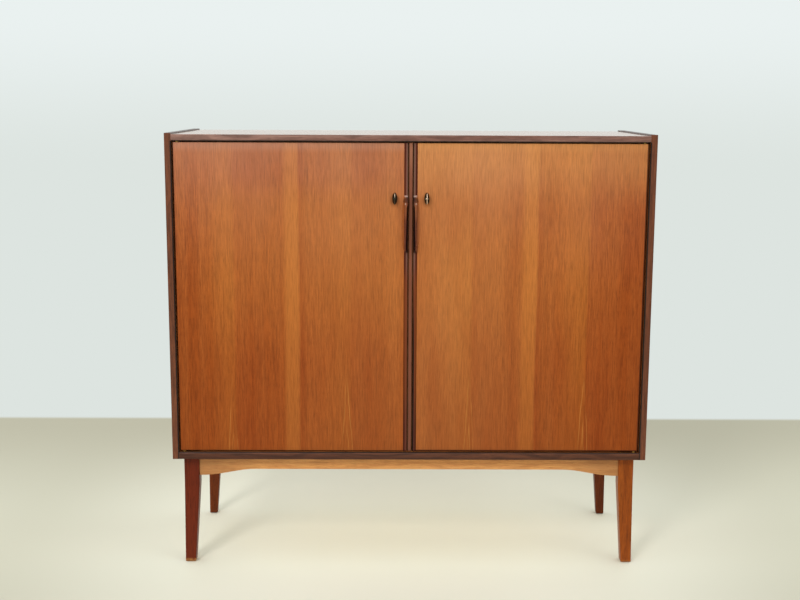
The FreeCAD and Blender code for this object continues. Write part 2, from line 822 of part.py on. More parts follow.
def all_nodes():
    """Every node's shape by name, before the shift to the origin."""
    dowels = dowel_pieces()
    glides = glide_pieces()
    tenons = [front_apron_tenon(), rear_apron_tenon()] + side_rail_tenons()
    side_lipping, top_lipping, bottom_lipping = lipping_pieces()

    nodes = {
        "top_panel": end_panel(case_ceiling, top_height, dowels),
        "bottom_panel": end_panel(case_floor, case_underside, dowels),
        "back_panel": back_panel(),
        "centre_partition": centre_partition(),
        "centre_bead": centre_bead(),
        "top_lipping": top_lipping,
        "bottom_lipping": bottom_lipping,
        "front_apron": front_apron(),
        "rear_apron": rear_apron(),
        "corner_blocks": Part.makeCompound(corner_block_pieces()),
        "foot_glides": Part.makeCompound(glides),
        "case_dowels": Part.makeCompound(dowels),
        "strike_plates": Part.makeCompound(both_sides(strike_plate())),
        "hinge_case_leaves": Part.makeCompound(case_leaf_pieces()),
    }

    paired = {
        "side_{}": side_panel(dowels),
        "side_lipping_{}": side_lipping,
        "front_leg_{}": front_leg(tenons + glides),
        "rear_leg_{}": rear_leg(tenons + glides),
        "side_rail_{}": side_rail(),
    }
    pins = []
    for number, underside in enumerate(shelf_undersides(), start=1):
        shelf, shelf_pins = shelf_and_pins(underside)
        paired["shelf_{}_" + str(number)] = shelf
        for pin in shelf_pins:
            pins += both_sides(pin)
    nodes["shelf_pins"] = Part.makeCompound(pins)

    paired.update(door_nodes())
    for name, shape in paired.items():
        nodes[name.format("left")] = shape
        nodes[name.format("right")] = mirrored(shape)
    return nodes


# The origin is on the floor, under the middle of the whole cabinet with its keys
origin_y = (key_front + case_depth) / 2

os.makedirs("parts", exist_ok=True)
for node_name, node_shape in all_nodes().items():
    placed = node_shape.copy()
    placed.translate(Vec(0, -origin_y, 0))
    placed.exportStep("parts/" + node_name + ".step")
    print(node_name, len(placed.Solids), placed.isValid(), round(placed.Volume))
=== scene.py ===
"""Visual model of a tall two-door cabinet on a tapered leg frame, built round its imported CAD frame."""
import itertools
import logging
import math
from dataclasses import KW_ONLY, dataclass, field
from enum import Enum
from typing import Callable, Iterable, Sequence

import bmesh
import bpy
from mathutils import Matrix, Vector


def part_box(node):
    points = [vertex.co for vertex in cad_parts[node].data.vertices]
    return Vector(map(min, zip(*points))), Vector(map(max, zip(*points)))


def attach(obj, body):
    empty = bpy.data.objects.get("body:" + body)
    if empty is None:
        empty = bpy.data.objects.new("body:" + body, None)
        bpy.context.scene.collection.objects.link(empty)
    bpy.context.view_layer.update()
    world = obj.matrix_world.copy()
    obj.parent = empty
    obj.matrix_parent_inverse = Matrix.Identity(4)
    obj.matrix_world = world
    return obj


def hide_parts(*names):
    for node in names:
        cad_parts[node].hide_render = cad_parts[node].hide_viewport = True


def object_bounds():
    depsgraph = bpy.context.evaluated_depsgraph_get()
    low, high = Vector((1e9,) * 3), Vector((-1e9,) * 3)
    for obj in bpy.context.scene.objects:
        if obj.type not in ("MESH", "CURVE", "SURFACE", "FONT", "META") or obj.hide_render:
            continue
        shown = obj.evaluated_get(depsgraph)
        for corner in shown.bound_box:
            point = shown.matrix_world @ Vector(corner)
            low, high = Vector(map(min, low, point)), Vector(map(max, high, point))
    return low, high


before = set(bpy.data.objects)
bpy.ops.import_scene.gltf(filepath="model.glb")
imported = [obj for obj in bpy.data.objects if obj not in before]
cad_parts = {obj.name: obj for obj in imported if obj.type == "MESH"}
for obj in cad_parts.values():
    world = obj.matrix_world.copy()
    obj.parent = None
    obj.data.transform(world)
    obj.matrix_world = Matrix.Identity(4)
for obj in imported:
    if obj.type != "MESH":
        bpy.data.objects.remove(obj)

LOG = logging.getLogger("cabinet")
CAD_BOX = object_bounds()
MM = 0.001
HAIR = 0.1 * MM
MICRON = 0.001 * MM
TURNED_SMOOTH, CARVED_SMOOTH = 40.0, 50.0
UP = Vector((0.0, 0.0, 1.0))
BACK = Vector((0.0, 1.0, 0.0))
Socket = bpy.types.NodeSocket
Colour = tuple[float, float, float, float]
Span = tuple[float, float]


class Side(Enum):
    """Which side of the centre line a piece is on."""

    LEFT = -1
    RIGHT = 1

    @property
    def word(self) -> str:
        """Word for this side in the names of nodes and bodies."""
        return self.name.lower()

    @property
    def door(self) -> str:
        """Body of the door on this side, with which the names of its nodes begin."""
        return f"door_{self.word}"


class Grain(Enum):
    """Direction of the wood's fibres, as the turn that lays them along Z."""

    ALONG_X = (0.0, math.radians(90), 0.0)
    ALONG_Y = (math.radians(90), 0.0, 0.0)
    ALONG_Z = (0.0, 0.0, 0.0)


def srgb(code: str) -> Colour:
    """Linear colour of a six-digit sRGB code."""
    channels = [int(code[i:i + 2], 16) / 255 for i in (0, 2, 4)]
    linear = [c / 12.92 if c <= 0.04045 else ((c + 0.055) / 1.055) ** 2.4 for c in channels]
    return (*linear, 1.0)


class Nodes:
    """Adds shader nodes to a tree and wires them."""

    def __init__(self, tree: bpy.types.NodeTree) -> None:
        """Keeps the tree that the nodes go into."""
        self.tree = tree

    @classmethod
    def on(cls, owner: bpy.types.Material | bpy.types.World) -> "Nodes":
        """Clears the nodes of a material or a world and starts there."""
        owner.use_nodes = True
        owner.node_tree.nodes.clear()
        return cls(owner.node_tree)

    def add(self, kind: str, inputs: dict | None = None, **settings: object) -> bpy.types.Node:
        """Adds a node.

        Args:
            kind: Blender's name for the node type.
            inputs: values or sockets by input name or number.
            settings: attributes of the node.

        Returns:
            The new node.
        """
        node = self.tree.nodes.new(kind)
        for name, value in settings.items():
            setattr(node, name, value)
        for key, value in (inputs or {}).items():
            if isinstance(value, Socket):
                self.tree.links.new(value, node.inputs[key])
            else:
                node.inputs[key].default_value = value
        return node

    def math(self, operation: str, a: Socket | float, b: Socket | float = 0.0) -> Socket:
        """Result of one sum on two values."""
        return self.add("ShaderNodeMath", {0: a, 1: b}, operation=operation).outputs[0]

    def times(self, value: Socket | float, *factors: Socket | float) -> Socket:
        """Product of values."""
        for factor in factors:
            value = self.math("MULTIPLY", value, factor)
        return value

    def plus(self, a: Socket | float, b: Socket | float) -> Socket:
        """Sum of two values."""
        return self.math("ADD", a, b)

    def minus(self, a: Socket | float, b: Socket | float) -> Socket:
        """Difference of two values."""
        return self.math("SUBTRACT", a, b)

    def step(self, value: Socket, low: float, high: float) -> Socket:
        """Smooth rise from 0 at low to 1 at high, or fall from 1 to 0 where low is the higher one."""
        inputs = {"Value": value, "From Min": low, "From Max": high}
        return self.add("ShaderNodeMapRange", inputs, interpolation_type="SMOOTHSTEP").outputs[0]

    def noise(self, vector: Socket, pitch: Sequence[float], detail: float = 2.0,
              roughness: float = 0.5) -> Socket:
        """Noise from 0 to 1.

        Args:
            vector: place on the piece, in metres.
            pitch: blotches per metre along each axis.
            detail: octaves of finer noise.
            roughness: weight of the finer noise.

        Returns:
            The noise's value.
        """
        inputs = {"Vector": self.vector("MULTIPLY", vector, pitch), "Scale": 1.0,
                  "Detail": detail, "Roughness": roughness}
        return self.add("ShaderNodeTexNoise", inputs).outputs[0]

    def sway(self, vector: Socket, pitch: Sequence[float], detail: float, reach: float) -> Socket:
        """Noise that swings about 0, with the reach as its whole width."""
        return self.times(self.minus(self.noise(vector, pitch, detail), 0.5), reach)

    def mix(self, share: Socket | float, a: Socket | Colour, b: Socket | Colour, blend: str = "MIX",
            label: str = "") -> Socket:
        """Colour between two colours."""
        return self.add("ShaderNodeMix", {0: share, 6: a, 7: b}, data_type="RGBA", blend_type=blend,
                        label=label).outputs[2]

    def darken(self, colour: Socket, shade: Socket, label: str = "") -> Socket:
        """Colour times a grey."""
        return self.mix(1.0, colour, self.join(shade, shade, shade), "MULTIPLY", label)

    def vector(self, operation: str, a: Socket, b: Socket | Sequence[float]) -> Socket:
        """Result of one vector sum."""
        return self.add("ShaderNodeVectorMath", {0: a, 1: b}, operation=operation).outputs[0]

    def axes(self, vector: Socket) -> tuple[Socket, Socket, Socket]:
        """The three numbers of a vector."""
        out = self.add("ShaderNodeSeparateXYZ", {0: vector}).outputs
        return out[0], out[1], out[2]

    def join(self, x: Socket | float, y: Socket | float, z: Socket | float) -> Socket:
        """Vector from three numbers."""
        return self.add("ShaderNodeCombineXYZ", {0: x, 1: y, 2: z}).outputs[0]

    def group(self, effect: "SharedEffect", inputs: dict) -> bpy.types.NodeOutputs:
        """Places a shared effect with its own values and gives its outputs."""
        return self.add("ShaderNodeGroup", inputs, node_tree=effect.tree()).outputs


class SharedEffect:
    """A node group that several finishes use, built when the first one asks for it."""

    name: str = ""
    inputs: dict[str, str] = {}
    outputs: dict[str, str] = {}

    def tree(self) -> bpy.types.NodeTree:
        """The group, made once."""
        found = bpy.data.node_groups.get(self.name)
        if found:
            return found
        tree = bpy.data.node_groups.new(self.name, "ShaderNodeTree")
        for way, sockets in (("INPUT", self.inputs), ("OUTPUT", self.outputs)):
            for name, kind in sockets.items():
                tree.interface.new_socket(name, in_out=way, socket_type="NodeSocket" + kind)
        entry = tree.nodes.new("NodeGroupInput").outputs
        leave = tree.nodes.new("NodeGroupOutput")
        for name, socket in self.wire(Nodes(tree), entry).items():
            tree.links.new(socket, leave.inputs[name])
        return tree

    def wire(self, nodes: Nodes, entry: bpy.types.NodeInputs) -> dict[str, Socket]:
        """Wires the group's inside and gives its outputs by name."""
        raise NotImplementedError


class WoodGrain(SharedEffect):
    """Bands, streaks, growth rings and pores that run along Z.

    A pitch is a number of blotches per metre along each axis, and a span is the part of a noise
    over which its mark sets in.
    """

    name = "wood grain"
    inputs = {"Vector": "Vector", "Pale": "Color", "Mid": "Color", "Dark": "Color", "Bands": "Float",
              "Streaks": "Float", "Rings": "Float", "Pores": "Float", "Seed": "Float"}
    outputs = {"Color": "Color", "Rough": "Float", "Height": "Float"}
    seed_steps = (1.7, 0.6)
    sway_pitch, sway_reach = (9, 9, 1.6), 0.02
    band_pitch, band_span = (34, 34, 0.9), (0.34, 0.66)
    streak_pitch, streak_span, streak_rough = (300, 300, 13), (0.42, 0.72), 0.5
    dash_pitch, dash_span, dash_share = (520, 520, 40), (0.52, 0.7), 0.5
    fibre_pitch, fibre_span, fibre_share, fibre_relief = (900, 900, 24), (0.2, 0.8), 0.2, 0.35
    pore_pitch, pore_span, pore_rough = (1500, 1500, 55), (0.58, 0.68), 0.6
    pore_shade = (0.32, 0.24, 0.2, 1.0)
    mottle_pitch, mottle_depth, mottle_floor = (70, 70, 26), 0.28, 0.86
    ring_pitch, ring_span = (150, 1, 1), (0.55, 1.0)
    ring_sway_pitch, ring_sway = (16, 16, 7), 10.2

    def wire(self, nodes: Nodes, entry: bpy.types.NodeInputs) -> dict[str, Socket]:
        """Wires the grain."""
        seed = entry["Seed"]
        spot = nodes.vector("ADD", entry["Vector"], nodes.join(
            seed, *(nodes.times(seed, step) for step in self.seed_steps)))
        bend = nodes.join(nodes.sway(spot, self.sway_pitch, 2, self.sway_reach), 0.0, 0.0)
        bent = nodes.vector("ADD", spot, bend)
        bands = nodes.noise(bent, self.band_pitch, 3, 0.55)
        streaks = nodes.noise(bent, self.streak_pitch, 4, 0.66)
        fibres = nodes.noise(bent, self.fibre_pitch, 2, 0.6)
        mottle = nodes.noise(spot, self.mottle_pitch, 3, 0.6)
        ring_x = nodes.axes(nodes.vector("MULTIPLY", bent, self.ring_pitch))[0]
        ring_sway = nodes.times(nodes.noise(spot, self.ring_sway_pitch), self.ring_sway)
        wave = nodes.math("ABSOLUTE", nodes.math("SINE", nodes.plus(ring_x, ring_sway)))

        rings = nodes.times(nodes.step(wave, *self.ring_span), entry["Rings"])
        pale = nodes.times(nodes.step(bands, *self.band_span), entry["Bands"])
        dark = nodes.times(nodes.step(streaks, *self.streak_span), entry["Streaks"])
        dash = nodes.times(nodes.step(nodes.noise(bent, self.dash_pitch, 2, 0.6), *self.dash_span),
                           entry["Pores"], self.dash_share)
        pore = nodes.times(nodes.step(nodes.noise(bent, self.pore_pitch, 1), *self.pore_span),
                           entry["Pores"])
        colour = nodes.mix(pale, entry["Mid"], entry["Pale"])
        for mask in (rings, dark, dash):
            colour = nodes.mix(mask, colour, entry["Dark"])
        colour = nodes.mix(pore, colour, self.pore_shade, "MULTIPLY")
        glow = nodes.step(fibres, *self.fibre_span)
        colour = nodes.mix(self.fibre_share, colour, nodes.join(glow, glow, glow), "OVERLAY")
        colour = nodes.darken(colour, nodes.plus(nodes.times(mottle, self.mottle_depth),
                                                 self.mottle_floor))
        relief = nodes.minus(nodes.times(fibres, self.fibre_relief), pore)
        rough = nodes.plus(nodes.times(streaks, self.streak_rough), nodes.times(pore, self.pore_rough))
        return {"Color": colour, "Rough": rough, "Height": relief}


class EdgeWear(SharedEffect):
    """Mask of rubbed edges, and a normal that rounds them."""

    name = "edge wear"
    inputs = {"Vector": "Vector", "Radius": "Float", "Amount": "Float"}
    outputs = {"Mask": "Float", "Normal": "Vector"}
    turn_span = (0.0, 0.25)
    patch_pitch, patch_span = (45, 45, 45), (0.35, 0.75)

    def wire(self, nodes: Nodes, entry: bpy.types.NodeInputs) -> dict[str, Socket]:
        """Wires the wear."""
        bevel = nodes.add("ShaderNodeBevel", {"Radius": entry["Radius"]}, samples=4).outputs[0]
        flat = nodes.add("ShaderNodeNewGeometry").outputs["True Normal"]
        match = nodes.add("ShaderNodeVectorMath", {0: bevel, 1: flat},
                          operation="DOT_PRODUCT").outputs["Value"]
        edge = nodes.step(nodes.minus(1.0, match), *self.turn_span)
        patchy = nodes.step(nodes.noise(entry["Vector"], self.patch_pitch, 4, 0.65), *self.patch_span)
        return {"Mask": nodes.times(edge, patchy, entry["Amount"]), "Normal": bevel}


class Patina(SharedEffect):
    """Cloudy tarnish and fine scratches of a metal."""

    name = "patina"
    inputs = {"Vector": "Vector", "Bright": "Color", "Tarnish": "Color", "Amount": "Float"}
    outputs = {"Color": "Color", "Rough": "Float", "Height": "Float"}
    cloud_pitch, cloud_span, cloud_rough = (140, 140, 140), (0.35, 0.7), 0.7
    speck_pitch, speck_rough, speck_relief = (900, 900, 900), 0.3, 0.5
    scratch_pitch, scratch_relief = (2400, 300, 120), 0.5

    def wire(self, nodes: Nodes, entry: bpy.types.NodeInputs) -> dict[str, Socket]:
        """Wires the tarnish."""
        cloud = nodes.noise(entry["Vector"], self.cloud_pitch, 4, 0.6)
        specks = nodes.noise(entry["Vector"], self.speck_pitch)
        scratch = nodes.noise(entry["Vector"], self.scratch_pitch)
        stained = nodes.times(nodes.step(cloud, *self.cloud_span), entry["Amount"])
        return {
            "Color": nodes.mix(stained, entry["Bright"], entry["Tarnish"]),
            "Rough": nodes.plus(nodes.times(stained, self.cloud_rough),
                                nodes.times(specks, self.speck_rough)),
            "Height": nodes.plus(nodes.times(scratch, self.scratch_relief),
                                 nodes.times(specks, self.speck_relief))}


class Place:
    """A place on a piece inside a shader, with what has been measured there."""

    def __init__(self, nodes: Nodes) -> None:
        """Starts at the place that is being shaded, in metres."""
        self.nodes = nodes
        self.spot = nodes.add("ShaderNodeTexCoord").outputs["Object"]
        self.known: dict[Measure, Socket] = {}

    def measure(self, what: "Measure") -> Socket:
        """Number that a function gives for this place, worked out once."""
        if what not in self.known:
            self.known[what] = what(self)
        return self.known[what]


Measure = Callable[[Place], Socket]


def aside(place: Place) -> Socket:
    """Distance from the centre line."""
    return place.nodes.math("ABSOLUTE", place.nodes.axes(place.spot)[0])


def depth(place: Place) -> Socket:
    """Distance behind the middle of the cabinet."""
    return place.nodes.axes(place.spot)[1]


def height(place: Place) -> Socket:
    """Height over the floor."""
    return place.nodes.axes(place.spot)[2]


class Mask:
    """Part of a surface, as a share from 0 to 1 that is wired when its material is made.

    A mask is weighted by *, cut with another by & and joined with another by |.
    """

    def __init__(self, wire: Measure) -> None:
        """Keeps the function that gives the share at a place."""
        self.wire = wire

    def __rmul__(self, weight: float) -> "Mask":
        """This mask at a part of its strength."""
        return Mask(lambda place: place.nodes.times(self.wire(place), weight))

    def __and__(self, other: "Mask") -> "Mask":
        """Product of two masks."""
        return Mask(lambda place: place.nodes.times(self.wire(place), other.wire(place)))

    def __or__(self, other: "Mask") -> "Mask":
        """Larger of two masks."""
        return Mask(lambda place: place.nodes.math("MAXIMUM", self.wire(place), other.wire(place)))


def ramp(measure: Measure, low: float, high: float) -> Mask:
    """Mask that rises smoothly from low to high, or falls where low is the higher one."""
    return Mask(lambda place: place.nodes.step(place.measure(measure), low, high))


def band(measure: Measure, *ends: float) -> Mask:
    """Mask that rises from the first end to the second and falls from the third to the fourth."""
    return ramp(measure, ends[0], ends[1]) & ramp(measure, ends[3], ends[2])


def over(measure: Measure, limit: float) -> Mask:
    """Mask with a sharp edge, past a limit."""
    return ramp(measure, limit, limit + MICRON)


def under(measure: Measure, limit: float) -> Mask:
    """Mask with a sharp edge, short of a limit."""
    return ramp(measure, limit, limit - MICRON)


def blotches(pitch: Sequence[float], low: float, high: float, detail: float = 3.0,
             roughness: float = 0.5) -> Mask:
    """Mask of soft blotches, from a noise that sets in between low and high."""
    return Mask(lambda place: place.nodes.step(
        place.nodes.noise(place.spot, pitch, detail, roughness), low, high))


@dataclass(frozen=True)
class Stain:
    """Colour that lies over a finish, and perhaps another that takes its place in part."""

    what: str
    code: str
    where: Mask
    turned: tuple[str, Mask] | None = None

    def lay(self, place: Place, colour: Socket) -> Socket:
        """Colour under the stain."""
        own = srgb(self.code)
        if self.turned:
            code, where = self.turned
            own = place.nodes.mix(where.wire(place), own, srgb(code))
        return place.nodes.mix(self.where.wire(place), colour, own, label=self.what)


@dataclass(frozen=True)
class Shade:
    """Grey that multiplies a colour: top where its mask is 0, and less by its depth where it is 1."""

    what: str
    where: Mask
    depth: float
    top: float = 1.0

    def lay(self, place: Place, colour: Socket) -> Socket:
        """Colour under the shade."""
        nodes = place.nodes
        grey = nodes.minus(self.top, nodes.times(self.where.wire(place), self.depth))
        return nodes.darken(colour, grey, label=self.what)


Layer = Stain | Shade


@dataclass(frozen=True)
class Finish:
    """A finish with the layers over its plain colour, made a material when a piece first asks for it."""

    name: str
    layers: tuple[Layer, ...] = field(default=(), kw_only=True)

    def material(self) -> bpy.types.Material:
        """The finish as a material, made once."""
        found = bpy.data.materials.get(self.name)
        if found:
            return found
        material = bpy.data.materials.new(self.name)
        place = Place(Nodes.on(material))
        place.nodes.add("ShaderNodeOutputMaterial", {"Surface": self.surface(place)})
        return material

    def layered(self, place: Place, colour: Socket) -> Socket:
        """Colour under all of the layers."""
        for layer in self.layers:
            colour = layer.lay(place, colour)
        return colour

    def surface(self, place: Place) -> Socket:
        """Wires the finish and gives its shader."""
        raise NotImplementedError


@dataclass(frozen=True, kw_only=True)
class Worn(Finish):
    """A finish with rubbed edges and fine relief."""

    rough: float = 0.42
    rough_spread: float = 0.22
    rough_drop: float = 0.08
    wear: float = 0.25
    wear_radius: float = 0.8 * MM
    relief: float = 0.08 * MM
    relief_strength: float = 0.6

    def worn(self, place: Place, pattern: bpy.types.NodeOutputs) -> tuple[Socket, dict[str, Socket]]:
        """Wires the wear, the roughness and the relief.

        Args:
            place: place that is being shaded.
            pattern: outputs of the finish's own shared effect.

        Returns:
            Mask of the rubbed edges, and the shader's inputs.
        """
        nodes = place.nodes
        wear = nodes.group(EdgeWear(), {"Vector": place.spot, "Radius": self.wear_radius,
                                        "Amount": self.wear})
        rough = nodes.plus(nodes.times(pattern["Rough"], self.rough_spread), self.rough - self.rough_drop)
        bump = nodes.add("ShaderNodeBump", {"Height": pattern["Height"], "Normal": wear["Normal"],
                                            "Strength": self.relief_strength, "Distance": self.relief})
        return wear["Mask"], {"Roughness": rough, "Normal": bump.outputs[0]}


@dataclass(frozen=True)
class Wood(Worn):
    """A finished wood: its colours, its grain and its polish."""

    pale: str
    mid: str
    dark: str
    _: KW_ONLY
    grain: Grain = Grain.ALONG_Z
    bands: float = 0.6
    streaks: float = 0.5
    rings: float = 0.0
    pores: float = 0.5
    shine: float = 0.3
    coat: float = 0.05
    coat_rough: float = 0.2
    seed: float = 0.0

    def surface(self, place: Place) -> Socket:
        """Wires the wood, with its grain turned along Z."""
        nodes = place.nodes
        laid = nodes.add("ShaderNodeMapping", {"Vector": place.spot, "Rotation": self.grain.value})
        grain = nodes.group(WoodGrain(), {
            "Vector": laid.outputs[0], "Pale": srgb(self.pale), "Mid": srgb(self.mid),
            "Dark": srgb(self.dark), "Bands": self.bands, "Streaks": self.streaks, "Rings": self.rings,
            "Pores": self.pores, "Seed": self.seed})
        rubbed, inputs = self.worn(place, grain)
        colour = nodes.mix(rubbed, self.layered(place, grain["Color"]), srgb(self.pale))
        return nodes.add("ShaderNodeBsdfPrincipled", inputs | {
            "Base Color": colour, "Specular IOR Level": self.shine, "Coat Weight": self.coat,
            "Coat Roughness": self.coat_rough}).outputs[0]


@dataclass(frozen=True)
class Metal(Worn):
    """A metal with its tarnish and polish."""

    bright: str
    tarnish: str
    _: KW_ONLY
    amount: float = 0.5
    rough: float = 0.25
    rough_spread: float = 0.35
    rough_drop: float = 0.05
    wear: float = 0.5
    wear_radius: float = 0.4 * MM
    relief: float = 0.02 * MM
    relief_strength: float = 0.4

    def surface(self, place: Place) -> Socket:
        """Wires the metal."""
        nodes = place.nodes
        patina = nodes.group(Patina(), {"Vector": place.spot, "Bright": srgb(self.bright),
                                        "Tarnish": srgb(self.tarnish), "Amount": self.amount})
        rubbed, inputs = self.worn(place, patina)
        colour = self.layered(place, nodes.mix(rubbed, patina["Color"], srgb(self.bright)))
        return nodes.add("ShaderNodeBsdfPrincipled", inputs | {"Base Color": colour,
                                                               "Metallic": 1.0}).outputs[0]


@dataclass(frozen=True)
class DoorLook:
    """Upright veneer of one door: two leaves, each with an arched figure low in its middle."""

    middle: float
    figure_shift: float
    tone: float
    sheen: float
    mist: str
    mist_share: float
    honey_share: float
    hem_width: float
    rim_share: float = 0.14
    leaf_middle: float = 141 * MM
    joint_sway: float = 8 * MM
    figure_tip: float = 495 * MM
    figure_slope: float = 0.06
    figure_pitch: float = 8.5 * MM
    figure_sway: float = 6 * MM
    plate: Span = (38.5 * MM, 919 * MM)
    plate_reach: Span = (15 * MM, 19 * MM)

    def across(self, place: Place) -> Socket:
        """Distance to the right of the ragged joint between the two leaves."""
        nodes = place.nodes
        offset = nodes.minus(nodes.axes(place.spot)[0], self.middle)
        return nodes.plus(offset, nodes.sway(place.spot, (30, 30, 2.2), 3, self.joint_sway))

    def in_leaf(self, place: Place) -> Socket:
        """Distance to the right of the middle of the leaf."""
        nodes, across = place.nodes, place.measure(self.across)
        return nodes.minus(across, nodes.times(nodes.math("SIGN", across), self.leaf_middle))

    def outward(self, place: Place) -> Socket:
        """Distance outward from the arched figure's outermost line."""
        nodes = place.nodes
        off = nodes.math("ABSOLUTE", nodes.minus(place.measure(self.in_leaf), self.figure_shift))
        drop = nodes.minus(self.figure_tip, place.measure(height))
        return nodes.plus(nodes.minus(off, nodes.times(drop, self.figure_slope)),
                          nodes.sway(place.spot, (26, 26, 11), 2, self.figure_sway))

    def ripple(self, place: Place) -> Socket:
        """Wave whose crests are the figure's nested lines."""
        turns = place.nodes.math("DIVIDE", place.measure(self.outward), self.figure_pitch / math.tau)
        return place.nodes.math("COSINE", turns)

    def plate_ring(self, place: Place) -> Socket:
        """Distance from the middle of the key's plate, in shares of the oval of painted shadow round it.
        """
        nodes, squares = place.nodes, []
        for measure, middle, reach in zip((aside, height), self.plate, self.plate_reach):
            share = nodes.math("DIVIDE", nodes.minus(place.measure(measure), middle), reach)
            squares.append(nodes.times(share, share))
        return nodes.math("SQRT", nodes.plus(*squares))

    def layers(self) -> tuple[Layer, ...]:
        """Layers over the plain grain, from the first to the last; places are in metres."""
        low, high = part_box("door_left_panel")
        tip, outer, top = self.figure_tip, -low.x, high.z
        return (
            Stain("golden half", "bf732a", self.tone * band(self.in_leaf, -0.09, -0.008, -0.004, 0.006)),
            Stain("russet half", "8a350e", self.tone * band(self.in_leaf, -0.002, 0.008, 0.02, 0.12)),
            # painted light: the door is paler towards the middle, where light falls on it
            Stain("sheen inward", "d08c50", self.sheen * ramp(aside, 0.48, 0.0)),
            Stain("russet clouds", "8a350e", 0.35 * blotches((11, 11, 2.0), 0.38, 0.7)),
            Stain("arched figure", "d48d42", 0.6 * ramp(self.ripple, 0.55, 1.0)
                  & ramp(self.outward, 0.004, 0.002) & ramp(height, tip, tip - 0.05)
                  & blotches((110, 110, 10), 0.26, 0.6, 2)),
            Stain("sapwood", "c67834", 0.5 * band(self.across, -0.0265, -0.0095, 0.0115, 0.0205)),
            Stain("seam", "8a350e", 0.4 * band(self.across, 0.0175, 0.0195, 0.0205, 0.0375)),
            # painted light: the door grows paler towards its top, lit from above
            Stain("painted light on top", "bd7c5c", 0.55 * ramp(height, 0.65, 1.1)
                  & blotches((4, 4, 2.4), 0.1, 0.8)),
            # painted shade: darker towards the foot and, lower down, towards the outer side
            Stain("painted shade at foot", "7b3508", 0.5 * ramp(height, 0.9, 0.2)),
            Stain("painted shade at outer side", "7b3508", 0.18 * ramp(aside, 0.42, outer) & ramp(height, 0.9, 0.55)),
            # painted light: a warm, paler band across the upper middle, away from the outer side
            Stain("painted glow in upper middle", "c8813f", self.honey_share * band(height, 0.5, 0.74, 0.9, 0.99)
                  & ramp(aside, outer, 0.4)),
            # painted light: the upper part of the door and its top rim are paler, lit from above
            Stain("mist", self.mist, self.mist_share * ramp(height, top - 0.17, top - 0.03)),
            Stain("painted lit rim", self.mist,
                  self.rim_share / (1 - self.mist_share) * ramp(height, top - 0.028, top - 0.002)),
            Shade("fine streaks", blotches((430, 430, 24), 0.36, 0.7, 3, 0.65), 0.24, 1.1),
            # painted shadow: a dark oval on the veneer round the key's plate
            Stain("painted shadow round the plate", "5a3216", 0.6 * ramp(self.plate_ring, 1.1, 0.3)),
            # painted shade: dark bottom and outer edges, widening the shade of the gaps round the door
            Stain("painted gap shade", "3a1406", 0.8 * (under(height, low.z + self.hem_width)
                                          | over(aside, outer - self.hem_width))))


def pull_layers(flank: str, front: float) -> tuple[Layer, ...]:
    """Paler flank, painted highlight on the upper ridge, painted shade in the scoop and under the
    shoulder, and painted highlights at the upper end of a pull.

    Args:
        flank: colour of the flank and of the painted highlight on the upper ridge.
        front: depth of the pull's foremost point.

    Returns:
        The layers.
    """
    # painted highlight along the upper ridge
    ridge = 0.45 * over(aside, 0.0092) & ramp(height, 0.862, 0.898)
    glint = band(height, 0.9082, 0.9112, 0.9112, 0.9142) & over(aside, 0.0115) & under(aside, 0.0143)
    return (
        Stain("flank and painted ridge highlight", flank, 0.85 * ramp(aside, 0.0150, 0.0180) | ridge),
        # painted shade deep in the scoop
        Stain("painted shade in finger groove", "1c0201", ramp(depth, front + 0.0012, front + 0.0045)
              & ramp(aside, 0.0128, 0.0120)),
        # painted shade on the neck under the shoulder
        Stain("neck", "330c05", 0.6 * band(height, 0.9135, 0.915, 0.9235, 0.9258)),
        # painted glint at the scoop's top and painted highlight on the shoulder
        Stain("painted glint and shoulder highlight", "c09a8c", glint | 0.8 * ramp(height, 0.9262, 0.929)))


def rubbed_crown(code: str, share: float, upper: str, low: float, high: float) -> Stain:
    """Painted highlight on the inner part of upright trim, whose colour turns into a paler painted
    reflection above, between two heights.
    """
    return Stain("painted crown highlight", code, share * ramp(aside, 12.2 * MM, 10.5 * MM),
                 (upper, ramp(height, low, high)))


def deeper_foot(share: float) -> Shade:
    """Painted shade that darkens trim downwards, by a share at most."""
    return Shade("painted shade towards foot", ramp(height, 1.0, 0.2), share)


def bare_foot(share: float, top: float) -> tuple[Layer, ...]:
    """Foot of a leg with its finish rubbed off in patches, up to a height."""
    return (Stain("bare foot", "b17c46", share * ramp(height, top, top - 0.005)
                  & blotches((160, 160, 160), 0.2, 0.6)),)


def dress(finish: Finish, *names: str) -> None:
    """Gives CAD nodes a finish."""
    for name in names:
        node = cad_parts[name]
        if not node.material_slots:
            node.data.materials.append(None)
        for slot in node.material_slots:
            slot.material = finish.material()
        LOG.info("dressed %s in %s", name, finish.name)


